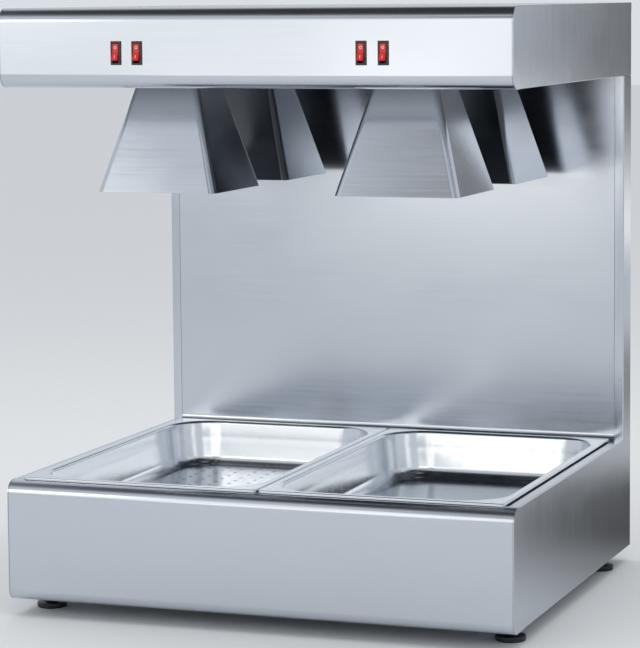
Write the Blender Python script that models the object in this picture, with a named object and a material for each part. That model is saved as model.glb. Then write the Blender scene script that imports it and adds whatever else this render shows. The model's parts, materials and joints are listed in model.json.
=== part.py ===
"""Counter-top chip warmer: a low base with two lift-out pans, a rear column and a canopy of four heat lamps.

Metres, +Z up. The object faces -Y and stands on its feet at z = 0, with the origin under the middle of its
bounding box. Every piece is built in body coordinates: x from the middle, y back from the front skin, z up
from the counter. An empty carries them all to the origin.
"""

import math

import bmesh
import bpy
from mathutils import Matrix, Vector

# Overall sizes
BODY_WIDTH = 0.684
BODY_DEPTH = 0.600
TOTAL_HEIGHT = 0.791
BASE_UNDERSIDE = 0.022
BASE_HEIGHT = 0.157
CANOPY_HEIGHT = 0.1015
COLUMN_DEPTH = 0.042

# Sheet metal
SHEET = 0.0012
SEAT_GAP = 0.0003
FOLD_RADIUS = 0.001
FLANGE_WIDTH = 0.013
OVERRUN = 0.005
MERGE_DISTANCE = 0.000001
BEND_STEPS = 5
SMOOTH_ANGLE = math.radians(35)

# Base
BASE_TOP_RADIUS = 0.018
BASE_BOTTOM_RADIUS = 0.014
FRONT_LIP = 0.024
LIP_DROP = 0.015
BOTTOM_LIP = 0.045

# Column
COVE_RADIUS = 0.010
BACK_PANEL_RISE = 0.018
REAR_PANEL_INSET = 0.001
COVER_SCREW_MARGIN = 0.040

# Canopy
CANOPY_RADIUS = 0.018
CANOPY_LIP = 0.032
CANOPY_REAR_DROP = 0.013

# Gastronorm pans, full size
PAN_LENGTH = 0.530
PAN_WIDTH = 0.325
PAN_DEPTH = 0.065
PAN_SHEET = 0.001
PAN_RIM = 0.0125
PAN_RIM_DROP = 0.0035
PAN_RIM_CORNER = 0.006
PAN_EDGE_RADIUS = 0.0012
PAN_SHOULDER_RADIUS = 0.002
PAN_OPENING_CORNER = 0.050
PAN_FLOOR_RADIUS = 0.016
PAN_WALL_LEAN = 0.009
PAN_FRONT = 0.015
PAN_CENTRE_GAP = 0.002
PAN_REAR_SLOT = 0.0025
PAN_CORNER_STEPS = 6
PAN_FLOOR_STEPS = 3

# Rails under the pan rims
RAIL_CLEARANCE = 0.0005
RAIL_DROP = 0.020

# Drainer plate in the left pan
DRAINER_SHEET = 0.001
DRAINER_HEIGHT = 0.005
DRAINER_MARGIN = 0.003
DRAINER_CORNER = 0.026
DRAINER_HOLE_RADIUS = 0.003
DRAINER_HOLE_PITCH = 0.048
DRAINER_EDGE_MARGIN = 0.018
DRAINER_HOLE_SIDES = 6

# Lamp shades
SHADE_HEIGHT = 0.139
SHADE_BOTTOM_WIDTH = 0.166
SHADE_TOP_WIDTH = 0.088
SHADE_CORNER = 0.009
SHADE_CORNER_STEPS = 4
LAMP_HOLE_RADIUS = 0.030
LAMP_ROW_SPACING = 0.264

# Heat lamps and their holders
LAMP_RAIL_WIDTH = 0.040
LAMP_RAIL_HEIGHT = 0.014
HOLDER_RADIUS = 0.024
HOLDER_HEIGHT = 0.046
HOLDER_SHOULDER = 0.006
HOLDER_BORE_DEPTH = 0.029
CAP_RADIUS = 0.013
CAP_HEIGHT = 0.025
CAP_TIP_RADIUS = 0.005
CAP_TIP_HEIGHT = 0.003
CAP_CLEARANCE = 0.0004
BULB_RADIUS = 0.0625
BULB_LENGTH = 0.158
GLASS = 0.0012
LAMP_STEPS = 20
# Outer glass from the neck down: radius as a share of BULB_RADIUS, drop as a share of BULB_LENGTH
BULB_SHARES = (
    (0.20, 0.00), (0.20, 0.03), (0.30, 0.08), (0.33, 0.20), (0.43, 0.29), (0.64, 0.43),
    (0.84, 0.60), (0.97, 0.74), (1.00, 0.83), (0.94, 0.91), (0.70, 0.97), (0.36, 0.99),
)

# Rocker switches
SWITCH_SPACING = 0.0286
SWITCH_RISE = 0.0445
BEZEL_WIDTH = 0.0134
BEZEL_HEIGHT = 0.030
BEZEL_THICKNESS = 0.002
BEZEL_CHAMFER = 0.0006
SWITCH_BODY_WIDTH = 0.0112
SWITCH_BODY_HEIGHT = 0.0280
SWITCH_BODY_DEPTH = 0.018
ROCKER_WIDTH = 0.0088
ROCKER_HEIGHT = 0.0212
ROCKER_FRONT = 0.005
ROCKER_BACK = 0.0035
ROCKER_PROUD = 0.0003
ROCKER_EDGE = 0.0006
ROCKER_SIDE_GAP = 0.0003
ROCKER_END_GAP = 0.0004
ROCKER_TILT = math.radians(12)
ROCKER_HEEL_SHARE = 0.5
SWITCH_POCKET_DEPTH = 0.0115

# Levelling feet
FOOT_INSET = 0.026
FOOT_SETBACK = 0.075
FOOT_RADIUS = 0.0195
FOOT_THICKNESS = 0.007
FOOT_BEVEL = 0.0012
FOOT_SLOPE = 0.004
COLLAR_RADIUS = 0.009
STUD_RADIUS = 0.004
STUD_CHAMFER = 0.0008
STUD_REACH = 0.030
BUSH_RADIUS = 0.0075
BUSH_HEIGHT = 0.0065
BUSH_SIDES = 16
FOOT_STEPS = 24

# Mains inlet in the rear of the base
INLET_X = 0.250
INLET_Z = 0.078
INLET_BODY_WIDTH = 0.0272
INLET_BODY_HEIGHT = 0.0196
INLET_BODY_DEPTH = 0.024
INLET_FLANGE_WIDTH = 0.033
INLET_FLANGE_HEIGHT = 0.026
INLET_FLANGE_THICKNESS = 0.002
INLET_SOCKET_WIDTH = 0.0242
INLET_SOCKET_HEIGHT = 0.0166
INLET_SOCKET_DEPTH = 0.016
INLET_PIN_WIDTH = 0.002
INLET_PIN_HEIGHT = 0.004
INLET_PIN_LENGTH = 0.0135
INLET_PIN_SPREAD = 0.007
INLET_PIN_RISE = 0.004

# Terminal block and supply lead inside
TERMINAL_X = 0.110
TERMINAL_SETBACK = 0.036
TERMINAL_POLES = 4
TERMINAL_POLE_WIDTH = 0.010
TERMINAL_WIDTH = 0.022
TERMINAL_HEIGHT = 0.018
TERMINAL_NOTCH_DEPTH = 0.006
TERMINAL_NOTCH_WIDTH = 0.0025
LEAD_RADIUS = 0.0035
LEAD_BEND = 0.018
LEAD_POINTS_PER_SPAN = 4

# Screws of the column's rear cover
SCREW_RADIUS = 0.002
SCREW_LENGTH = 0.009
SCREW_HEAD_RADIUS = 0.0038
SCREW_HEAD_HEIGHT = 0.002
SCREW_STEPS = 16

# Worked out from the sizes above
HALF_WIDTH = BODY_WIDTH / 2
BASE_TOP = BASE_UNDERSIDE + BASE_HEIGHT
CANOPY_BOTTOM = TOTAL_HEIGHT - CANOPY_HEIGHT
COLUMN_FRONT = BODY_DEPTH - COLUMN_DEPTH
COLUMN_TOP = CANOPY_BOTTOM - SEAT_GAP
INNER_HALF_WIDTH = HALF_WIDTH - SHEET - SEAT_GAP
REAR_PANEL_FRONT = BODY_DEPTH + SEAT_GAP
REAR_PANEL_BACK = REAR_PANEL_FRONT + SHEET
REAR_STAND_OUT = SEAT_GAP + SHEET + SEAT_GAP + max(SCREW_HEAD_HEIGHT, INLET_FLANGE_THICKNESS)

PAN_CENTRE_X = (PAN_CENTRE_GAP + PAN_WIDTH) / 2
PAN_OUTER_X = PAN_CENTRE_GAP / 2 + PAN_WIDTH
PAN_REAR = PAN_FRONT + PAN_LENGTH
PAN_SEAT = BASE_TOP + SEAT_GAP
PAN_FLOOR = PAN_RIM_DROP - PAN_DEPTH
RAIL_WIDTH = PAN_RIM - PAN_SHEET - RAIL_CLEARANCE
RAIL_FRONT = FRONT_LIP + SEAT_GAP
LEDGE_FRONT = PAN_REAR - RAIL_WIDTH

FLOOR_BOTTOM = BASE_UNDERSIDE + SHEET + SEAT_GAP
FLOOR_TOP = FLOOR_BOTTOM + SHEET
UNDERSIDE_BOTTOM = CANOPY_BOTTOM + SHEET + SEAT_GAP
UNDERSIDE_TOP = UNDERSIDE_BOTTOM + SHEET
SHADE_TOP = UNDERSIDE_BOTTOM - SEAT_GAP
LAMP_RAIL_TOP = TOTAL_HEIGHT - SHEET - SEAT_GAP
LAMP_RAIL_BOTTOM = LAMP_RAIL_TOP - LAMP_RAIL_HEIGHT
HOLDER_TOP = LAMP_RAIL_BOTTOM - SEAT_GAP
HOLDER_BOTTOM = HOLDER_TOP - HOLDER_HEIGHT
CAP_TOP = HOLDER_BOTTOM + HOLDER_BORE_DEPTH - SEAT_GAP
GLASS_TOP = CAP_TOP - CAP_HEIGHT - SEAT_GAP
LAMP_FRONT_ROW = (BODY_DEPTH - LAMP_ROW_SPACING) / 2
LAMP_REAR_ROW = LAMP_FRONT_ROW + LAMP_ROW_SPACING

SWITCH_Z = CANOPY_BOTTOM + SWITCH_RISE
BEZEL_FACE = -SEAT_GAP - BEZEL_THICKNESS
ROCKER_PIVOT_Y = BEZEL_FACE - ROCKER_PROUD + ROCKER_FRONT * math.cos(ROCKER_TILT)
ROCKER_HALF_HEIGHT = ROCKER_HEIGHT / 2
ROCKER_TIP = ROCKER_FRONT + ROCKER_HALF_HEIGHT * math.tan(ROCKER_TILT)
ROCKER_THROW = 2 * (ROCKER_HALF_HEIGHT - ROCKER_EDGE) * math.sin(ROCKER_TILT)
ROCKER_STAND_OUT = ROCKER_PROUD - BEZEL_FACE + ROCKER_THROW
ROCKER_REACH = ROCKER_TIP * math.sin(ROCKER_TILT) + ROCKER_HALF_HEIGHT * math.cos(ROCKER_TILT)

FRONT_Y = (ROCKER_STAND_OUT - BODY_DEPTH - REAR_STAND_OUT) / 2

SIDES = {"left": -1, "right": 1}
ROWS = {"front": LAMP_FRONT_ROW, "rear": LAMP_REAR_ROW}
FOOT_ROWS = {"front": FOOT_SETBACK, "rear": BODY_DEPTH - FOOT_SETBACK}


def clear_scene():
    for obj in list(bpy.data.objects):
        bpy.data.objects.remove(obj, do_unlink=True)


def linear(channel):
    """One sRGB channel, 0 to 1, as linear light."""
    return channel / 12.92 if channel <= 0.04045 else ((channel + 0.055) / 1.055) ** 2.4


def new_material(name, hex_colour, metallic, roughness):
    """A Principled material of one colour."""
    material = bpy.data.materials.new(name)
    material.use_nodes = True
    shader = material.node_tree.nodes["Principled BSDF"]
    channels = [int(hex_colour[i:i + 2], 16) / 255 for i in (0, 2, 4)]
    shader.inputs["Base Color"].default_value = (*map(linear, channels), 1)
    shader.inputs["Metallic"].default_value = metallic
    shader.inputs["Roughness"].default_value = roughness
    material.diffuse_color = (*channels, 1)
    return material


def panel_steel(name):
    return new_material(name + "_brushed_steel", "B4BCCB", 1.0, 0.32)


def pan_steel(name):
    return new_material(name + "_polished_steel", "D2D6DC", 1.0, 0.14)


def zinc_steel(name):
    return new_material(name + "_zinc_plated_steel", "9FA4A6", 1.0, 0.42)


def clear_glass(name):
    return new_material(name + "_pressed_glass", "E9ECEC", 0.0, 0.08)


def porcelain(name):
    return new_material(name + "_glazed_porcelain", "ECE8DE", 0.0, 0.22)


def brass(name):
    return new_material(name + "_rolled_brass", "B99A55", 1.0, 0.35)


def black_plastic(name):
    return new_material(name + "_black_moulding", "1B1C1E", 0.0, 0.45)


def red_plastic(name):
    return new_material(name + "_red_moulding", "D0251F", 0.0, 0.25)


def grey_lead(name):
    return new_material(name + "_grey_sheath", "5B5E60", 0.0, 0.6)


def add_object(name, bm, material, parent, smooth=True):
    """Links a mesh built in its parent's coordinates, with its faces pointing out."""
    bmesh.ops.recalc_face_normals(bm, faces=bm.faces[:])
    mesh = bpy.data.meshes.new(name)
    bm.to_mesh(mesh)
    bm.free()
    if smooth:
        mesh.shade_smooth()
        mesh.set_sharp_from_angle(angle=SMOOTH_ANGLE)
    return link(name, mesh, material, parent)


def link(name, data, material, parent):
    obj = bpy.data.objects.new(name, data)
    bpy.context.scene.collection.objects.link(obj)
    obj.parent = parent
    if material and not data.materials:
        data.materials.append(material)
    return obj


def add_copy(name, source, location):
    """Another object of the same mesh, at its own place under the same parent."""
    obj = bpy.data.objects.new(name, source.data)
    bpy.context.scene.collection.objects.link(obj)
    obj.parent = source.parent
    obj.location = location
    obj.rotation_euler = source.rotation_euler
    return obj


def combine(target, name, bm, operation="DIFFERENCE"):
    """Cuts a mesh out of the target, or joins it on; the mesh is built in the target's coordinates."""
    tool = add_object(name, bm, None, target.parent, smooth=False)
    tool.location = target.location
    tool.hide_render = True
    tool.display_type = "WIRE"
    modifier = target.modifiers.new(name, "BOOLEAN")
    modifier.operation = operation
    modifier.object = tool


def arc_points(before, corner, after, radius, steps):
    """Points of the arc that rounds one corner of a path."""
    if radius <= 0:
        return [tuple(corner)]
    arriving = (corner - before).normalized()
    leaving = (after - corner).normalized()
    turn = arriving.angle_signed(leaving)
    reach = radius * math.tan(abs(turn) / 2)
    start = corner - arriving * reach
    side = -1 if turn > 0 else 1
    normal = Vector((-arriving.y, arriving.x)) * side
    centre = start + normal * radius
    spoke = start - centre
    points = []
    for step in range(steps + 1):
        angle = side * abs(turn) * step / steps
        cosine, sine = math.cos(angle), math.sin(angle)
        points.append((
            centre.x + spoke.x * cosine - spoke.y * sine,
            centre.y + spoke.x * sine + spoke.y * cosine,
        ))
    return points


def rounded_path(corners, closed=False, steps=BEND_STEPS):
    """A path through (u, v, radius) corners with each corner rounded."""
    count = len(corners)
    places = [Vector(corner[:2]) for corner in corners]
    points = []
    for index, corner in enumerate(corners):
        if not closed and index in (0, count - 1):
            points.append(tuple(places[index]))
            continue
        before = places[index - 1]
        after = places[(index + 1) % count]
        points += arc_points(before, places[index], after, corner[2], steps)
    return points


def right_normal(start, end):
    along = (end - start).normalized()
    return Vector((along.y, -along.x))


def offset_corners(corners, thickness):
    """The corners of the same open path, moved to its right by the thickness."""
    places = [Vector(corner[:2]) for corner in corners]
    normals = [right_normal(a, b) for a, b in zip(places, places[1:])]
    moved = []
    for index, place in enumerate(places):
        first = normals[max(index - 1, 0)]
        second = normals[min(index, len(normals) - 1)]
        place = place + (first + second) * thickness / (1 + first.dot(second))
        right_turn = first.x * second.y - first.y * second.x < 0
        radius = corners[index][2] - thickness if right_turn else corners[index][2] + thickness
        moved.append((place.x, place.y, max(radius, 0) if corners[index][2] else 0))
    return moved


def folded_section(corners, thickness=SHEET):
    """The closed section of a folded sheet whose face runs through the corners, metal on its right."""
    return rounded_path(corners) + rounded_path(offset_corners(corners, thickness))[::-1]


def fill_extrusion(bm, outline, axis, low, high):
    """Adds an outline extruded along an axis: (y, z) along X, (x, z) along Y, or (x, y) along Z."""
    place = {
        "X": lambda u, v: (low, u, v),
        "Y": lambda u, v: (u, low, v),
        "Z": lambda u, v: (u, v, low),
    }[axis]
    face = bm.faces.new([bm.verts.new(place(u, v)) for u, v in outline])
    raised = bmesh.ops.extrude_face_region(bm, geom=[face])
    verts = [item for item in raised["geom"] if isinstance(item, bmesh.types.BMVert)]
    travel = Vector([(high - low) * (letter == axis) for letter in "XYZ"])
    bmesh.ops.translate(bm, verts=verts, vec=travel)


def extrusion(outline, axis, low, high):
    bm = bmesh.new()
    fill_extrusion(bm, outline, axis, low, high)
    return bm


def rectangle(low_u, low_v, high_u, high_v):
    return [(low_u, low_v), (high_u, low_v), (high_u, high_v), (low_u, high_v)]


def fill_cylinder(bm, centre, radius, length, axis="Z", sides=LAMP_STEPS):
    """Adds a cylinder with its middle at the centre."""
    made = bmesh.ops.create_cone(
        bm, cap_ends=True, segments=sides, radius1=radius, radius2=radius, depth=length
    )
    if axis == "Y":
        bmesh.ops.rotate(bm, verts=made["verts"], matrix=Matrix.Rotation(math.pi / 2, 3, "X"))
    bmesh.ops.translate(bm, verts=made["verts"], vec=centre)


def loft(rings, closed=False):
    """Joins rings of equal counts in order, and fills the two ends or joins the last ring to the first."""
    bm = bmesh.new()
    loops = [[bm.verts.new(point) for point in ring] for ring in rings]
    pairs = list(zip(loops, loops[1:]))
    if closed:
        pairs.append((loops[-1], loops[0]))
    for first, second in pairs:
        for index in range(len(first)):
            after = (index + 1) % len(first)
            bm.faces.new((first[index], first[after], second[after], second[index]))
    if not closed:
        bm.faces.new(loops[0])
        bm.faces.new(loops[-1])
    return bm


def turned(profile, steps=LAMP_STEPS):
    """A body turned about Z from a profile of (radius, z) points that starts and ends on the axis."""
    bm = bmesh.new()
    verts = [bm.verts.new((radius, 0, z)) for radius, z in profile]
    edges = [bm.edges.new(pair) for pair in zip(verts, verts[1:])]
    bmesh.ops.spin(
        bm, geom=verts + edges, axis=(0, 0, 1), cent=(0, 0, 0), angle=math.tau, steps=steps, use_merge=True
    )
    bmesh.ops.remove_doubles(bm, verts=bm.verts[:], dist=MERGE_DISTANCE)
    return bm


def rounded_ring(half_x, half_y, radius, z, steps):
    """A level ring of a rounded rectangle about the origin."""
    corners = [
        (half_x, half_y, radius), (-half_x, half_y, radius),
        (-half_x, -half_y, radius), (half_x, -half_y, radius),
    ]
    return [(x, y, z) for x, y in rounded_path(corners, closed=True, steps=steps)]


def circle_ring(radius, z, count, first_angle=0):
    """A level circle about the origin."""
    angles = [first_angle + math.tau * index / count for index in range(count)]
    return [(radius * math.cos(angle), radius * math.sin(angle), z) for angle in angles]


def upright_rectangle(half_x, half_z, y):
    return [(-half_x, y, -half_z), (half_x, y, -half_z), (half_x, y, half_z), (-half_x, y, half_z)]


# Base

def add_base_front(body):
    """The front skin, rolled over at its top and bottom and turned down behind the pans' front rims."""
    section = folded_section([
        (BOTTOM_LIP, BASE_UNDERSIDE, 0),
        (0, BASE_UNDERSIDE, BASE_BOTTOM_RADIUS),
        (0, BASE_TOP, BASE_TOP_RADIUS),
        (FRONT_LIP, BASE_TOP, FOLD_RADIUS),
        (FRONT_LIP, BASE_TOP - LIP_DROP, 0),
    ])
    bm = extrusion(section, "X", -INNER_HALF_WIDTH, INNER_HALF_WIDTH)
    add_object("base_front", bm, panel_steel("base_front"), body)


def add_tray(name, outline, hollow, side, body):
    """A flanged side sheet: a solid of the flange's width, with rolled outer edges, then hollowed out."""
    outer = side * HALF_WIDTH
    inner = side * (HALF_WIDTH - FLANGE_WIDTH)
    bm = extrusion(rounded_path(outline, closed=True), "X", inner, outer)
    rim = [edge for edge in bm.edges if all(abs(vert.co.x - outer) < MERGE_DISTANCE for vert in edge.verts)]
    bmesh.ops.bevel(bm, geom=rim, offset=FOLD_RADIUS, segments=2, profile=0.5, affect="EDGES")
    tray = add_object(name, bm, panel_steel(name), body)
    past_flange = side * (HALF_WIDTH - FLANGE_WIDTH - OVERRUN)
    combine(tray, name + "_hollow", extrusion(hollow, "X", past_flange, side * (HALF_WIDTH - SHEET)))
    return tray


def add_side_panel(name, side, body):
    """One L-shaped side: the base's side and the column's side in one sheet."""
    outline = [
        (0, BASE_UNDERSIDE, BASE_BOTTOM_RADIUS), (BODY_DEPTH, BASE_UNDERSIDE, 0), (BODY_DEPTH, COLUMN_TOP, 0),
        (COLUMN_FRONT, COLUMN_TOP, 0), (COLUMN_FRONT, BASE_TOP, 0), (0, BASE_TOP, BASE_TOP_RADIUS),
    ]
    inside_rear = BODY_DEPTH - SHEET
    inside_top = BASE_TOP - SHEET
    flange_start = BOTTOM_LIP + SEAT_GAP
    hollow = [
        (-OVERRUN, BASE_UNDERSIDE - OVERRUN), (flange_start, BASE_UNDERSIDE - OVERRUN),
        (flange_start, BASE_UNDERSIDE + SHEET), (inside_rear, BASE_UNDERSIDE + SHEET),
        (inside_rear, COLUMN_TOP - SHEET), (COLUMN_FRONT + SHEET, COLUMN_TOP - SHEET),
        (COLUMN_FRONT + SHEET, inside_top), (RAIL_FRONT, inside_top),
        (RAIL_FRONT, BASE_TOP + OVERRUN), (-OVERRUN, BASE_TOP + OVERRUN),
    ]
    panel = add_tray(name, outline, hollow, side, body)
    combine(panel, name + "_screw_holes", screw_hole_cutter(side))


def screw_places(side):
    x = side * (HALF_WIDTH - FLANGE_WIDTH / 2)
    return [(x, BASE_TOP + COVER_SCREW_MARGIN), (x, COLUMN_TOP - COVER_SCREW_MARGIN)]


def screw_hole_cutter(*sides):
    bm = bmesh.new()
    for side in sides:
        for x, z in screw_places(side):
            centre = (x, BODY_DEPTH, z)
            fill_cylinder(bm, centre, SCREW_RADIUS + SEAT_GAP, 2 * OVERRUN, "Y", SCREW_STEPS)
    return bm


def foot_places():
    for row, y in FOOT_ROWS.items():
        for side_name, side in SIDES.items():
            yield row + "_" + side_name, side * (HALF_WIDTH - FOOT_INSET), y


def add_floor_panel(body):
    """The base's underside, lying on the side sheets' bottom flanges, with a hole for each foot's stud."""
    rear = BODY_DEPTH - SHEET - SEAT_GAP
    outline = rectangle(-INNER_HALF_WIDTH, BASE_BOTTOM_RADIUS, INNER_HALF_WIDTH, rear)
    panel = add_object(
        "floor_panel", extrusion(outline, "Z", FLOOR_BOTTOM, FLOOR_TOP), panel_steel("floor_panel"), body
    )
    holes = bmesh.new()
    for _, x, y in foot_places():
        fill_cylinder(holes, (x, y, FLOOR_BOTTOM), STUD_RADIUS + SEAT_GAP, 2 * OVERRUN, "Z", FOOT_STEPS)
    combine(panel, "floor_panel_stud_holes", holes)


def add_rear_panel(name, low, high, body):
    """One flat sheet across the back, outside the side sheets' rear flanges."""
    half = HALF_WIDTH - REAR_PANEL_INSET
    bm = extrusion(rectangle(-half, low, half, high), "Y", REAR_PANEL_FRONT, REAR_PANEL_BACK)
    return add_object(name, bm, panel_steel(name), body)


def add_rear_panels(body):
    """The three rear sheets: the base's with the inlet's cut-out, the column's cover and the canopy's."""
    base_rear = add_rear_panel("base_rear_panel", BASE_UNDERSIDE, BASE_TOP - SEAT_GAP, body)
    half_width = INLET_BODY_WIDTH / 2 + SEAT_GAP
    half_height = INLET_BODY_HEIGHT / 2 + SEAT_GAP
    opening = rectangle(
        INLET_X - half_width, INLET_Z - half_height, INLET_X + half_width, INLET_Z + half_height
    )
    combine(
        base_rear, "base_rear_inlet_hole",
        extrusion(opening, "Y", REAR_PANEL_FRONT - OVERRUN, REAR_PANEL_BACK + OVERRUN),
    )
    cover = add_rear_panel("column_rear_cover", BASE_TOP, COLUMN_TOP, body)
    combine(cover, "column_rear_cover_screw_holes", screw_hole_cutter(-1, 1))
    add_rear_panel("canopy_rear_panel", CANOPY_BOTTOM, TOTAL_HEIGHT - FOLD_RADIUS, body)


def add_back_panel(body):
    """The splash panel: the column's front sheet, coved forward at its foot to the slot behind the pans."""
    half = HALF_WIDTH - FLANGE_WIDTH - SEAT_GAP
    section = folded_section([
        (PAN_REAR + PAN_REAR_SLOT, BASE_TOP, 0),
        (COLUMN_FRONT, BASE_TOP, COVE_RADIUS),
        (COLUMN_FRONT, CANOPY_BOTTOM + BACK_PANEL_RISE, 0),
    ])
    add_object("back_panel", extrusion(section, "X", -half, half), panel_steel("back_panel"), body)


def add_pan_rails(body):
    """What carries the pans' rims: a rail at each side, one down the middle and a ledge at the rear."""
    foot = BASE_TOP - RAIL_DROP
    for side_name, side in SIDES.items():
        corners = [
            (PAN_OUTER_X - RAIL_WIDTH, BASE_TOP, 0), (PAN_OUTER_X, BASE_TOP, 0),
            (PAN_OUTER_X, foot, 0), (INNER_HALF_WIDTH, foot, 0),
        ]
        section = [(side * x, z) for x, z in folded_section(corners)]
        name = "pan_rail_" + side_name
        bm = extrusion(section, "Y", RAIL_FRONT, LEDGE_FRONT - SEAT_GAP)
        add_object(name, bm, panel_steel(name), body)
    half = PAN_CENTRE_GAP / 2 + RAIL_WIDTH
    section = folded_section([(-half, foot, 0), (-half, BASE_TOP, 0), (half, BASE_TOP, 0), (half, foot, 0)])
    bm = extrusion(section, "Y", RAIL_FRONT, LEDGE_FRONT - SEAT_GAP)
    add_object("pan_centre_rail", bm, panel_steel("pan_centre_rail"), body)
    section = folded_section([(LEDGE_FRONT, foot, 0), (LEDGE_FRONT, BASE_TOP, 0), (PAN_REAR, BASE_TOP, 0)])
    reach = HALF_WIDTH - FLANGE_WIDTH - SEAT_GAP
    add_object("pan_rear_ledge", extrusion(section, "X", -reach, reach), panel_steel("pan_rear_ledge"), body)


# Pans

def pan_ring(inset, z):
    """A ring at a distance inside the pan's opening; by the rim's edge it has the squarer outer corners."""
    half_x = PAN_WIDTH / 2 - PAN_RIM - inset
    half_y = PAN_LENGTH / 2 - PAN_RIM - inset
    if inset < -PAN_RIM / 2:
        radius = PAN_RIM_CORNER - (inset + PAN_RIM)
    else:
        radius = PAN_OPENING_CORNER - inset
    return rounded_ring(half_x, half_y, radius, z, PAN_CORNER_STEPS)


def pan_section(lift):
    """(inset, z) points from the rim's turned-down edge to the floor, on a face that lies lift below."""
    wall_foot = PAN_FLOOR + PAN_FLOOR_RADIUS
    centre = (PAN_WALL_LEAN + PAN_FLOOR_RADIUS, wall_foot)
    edge = -PAN_RIM + lift
    shoulder = PAN_SHOULDER_RADIUS
    edge_radius = PAN_EDGE_RADIUS - lift
    points = [
        (edge, 0),
        (edge, PAN_RIM_DROP - PAN_EDGE_RADIUS),
        (edge + edge_radius, PAN_RIM_DROP - lift),
        (-shoulder, PAN_RIM_DROP - lift),
        (-lift, PAN_RIM_DROP - shoulder),
    ]
    for step in range(PAN_FLOOR_STEPS + 1):
        angle = math.pi / 2 * step / PAN_FLOOR_STEPS
        reach = PAN_FLOOR_RADIUS + lift
        points.append((centre[0] - reach * math.cos(angle), centre[1] - reach * math.sin(angle)))
    return points


def add_pan(name, side, body):
    """One pan, standing on its turned-down rim; its origin is under the middle of the rim."""
    face = [pan_ring(inset, z) for inset, z in pan_section(0)]
    underside = [pan_ring(inset, z) for inset, z in pan_section(PAN_SHEET)]
    pan = add_object(name, loft(face[::-1] + underside), pan_steel(name), body)
    pan.location = (side * PAN_CENTRE_X, PAN_FRONT + PAN_LENGTH / 2, PAN_SEAT)
    return pan


def drainer_half_sizes():
    inset = PAN_RIM + PAN_WALL_LEAN + PAN_FLOOR_RADIUS + DRAINER_MARGIN
    return PAN_WIDTH / 2 - inset, PAN_LENGTH / 2 - inset


def add_drainer(pan):
    """The perforated plate on the left pan's floor, standing on its turned-down edge."""
    half_x, half_y = drainer_half_sizes()
    sheet = DRAINER_SHEET
    rings = []
    for inset, z in (
        (sheet, DRAINER_HEIGHT - sheet), (sheet, 0), (0, 0), (0, DRAINER_HEIGHT - sheet / 2),
        (sheet / 2, DRAINER_HEIGHT),
    ):
        radius = DRAINER_CORNER - inset
        rings.append(rounded_ring(half_x - inset, half_y - inset, radius, z, SHADE_CORNER_STEPS))
    plate = add_object("drainer_plate", loft(rings), pan_steel("drainer_plate"), pan)
    plate.location = (0, 0, PAN_FLOOR + SEAT_GAP)
    holes = bmesh.new()
    for x, y in drainer_hole_places(half_x - DRAINER_EDGE_MARGIN, half_y - DRAINER_EDGE_MARGIN):
        centre = (x, y, DRAINER_HEIGHT)
        fill_cylinder(holes, centre, DRAINER_HOLE_RADIUS, 2 * DRAINER_HEIGHT, "Z", DRAINER_HOLE_SIDES)
    combine(plate, "drainer_plate_holes", holes)


def drainer_hole_places(reach_x, reach_y):
    """Staggered rows about the plate's middle."""
    half_pitch = DRAINER_HOLE_PITCH / 2
    columns = int(reach_x / half_pitch)
    rows = int(reach_y / half_pitch)
    for column in range(-columns, columns + 1):
        for row in range(-rows, rows + 1):
            if (column + row) % 2 == 0:
                yield column * half_pitch, row * half_pitch


# Canopy

def lamp_places():
    for row, y in ROWS.items():
        for side_name, side in SIDES.items():
            yield row + "_" + side_name, side * PAN_CENTRE_X, y


def switch_places():
    """Each pair of switches is over one pan."""
    for side_name, side in SIDES.items():
        for number, offset in ((1, -SWITCH_SPACING / 2), (2, SWITCH_SPACING / 2)):
            yield side_name + "_" + str(number), side * PAN_CENTRE_X + offset


def add_canopy_shell(body):
    """The canopy's front and top in one rolled sheet, with the switches' cut-outs."""
    section = folded_section([
        (CANOPY_LIP, CANOPY_BOTTOM, 0),
        (0, CANOPY_BOTTOM, CANOPY_RADIUS),
        (0, TOTAL_HEIGHT, CANOPY_RADIUS),
        (BODY_DEPTH, TOTAL_HEIGHT, FOLD_RADIUS),
        (BODY_DEPTH, TOTAL_HEIGHT - CANOPY_REAR_DROP, 0),
    ])
    bm = extrusion(section, "X", -INNER_HALF_WIDTH, INNER_HALF_WIDTH)
    shell = add_object("canopy_shell", bm, panel_steel("canopy_shell"), body)
    openings = bmesh.new()
    half_width = SWITCH_BODY_WIDTH / 2 + SEAT_GAP
    half_height = SWITCH_BODY_HEIGHT / 2 + SEAT_GAP
    for _, x in switch_places():
        outline = rectangle(x - half_width, SWITCH_Z - half_height, x + half_width, SWITCH_Z + half_height)
        fill_extrusion(openings, outline, "Y", -OVERRUN, OVERRUN)
    combine(shell, "canopy_switch_openings", openings)


def add_canopy_end(name, side, body):
    """One end sheet of the canopy, flanged along its bottom and rear."""
    outline = [
        (0, CANOPY_BOTTOM, CANOPY_RADIUS), (BODY_DEPTH, CANOPY_BOTTOM, 0),
        (BODY_DEPTH, TOTAL_HEIGHT, 0), (0, TOTAL_HEIGHT, CANOPY_RADIUS),
    ]
    flange_start = CANOPY_LIP + SEAT_GAP
    flange_top = TOTAL_HEIGHT - CANOPY_REAR_DROP - SEAT_GAP
    hollow = [
        (-OVERRUN, CANOPY_BOTTOM - OVERRUN), (flange_start, CANOPY_BOTTOM - OVERRUN),
        (flange_start, CANOPY_BOTTOM + SHEET), (BODY_DEPTH - SHEET, CANOPY_BOTTOM + SHEET),
        (BODY_DEPTH - SHEET, flange_top), (BODY_DEPTH + OVERRUN, flange_top),
        (BODY_DEPTH + OVERRUN, TOTAL_HEIGHT + OVERRUN), (-OVERRUN, TOTAL_HEIGHT + OVERRUN),
    ]
    add_tray(name, outline, hollow, side, body)


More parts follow.
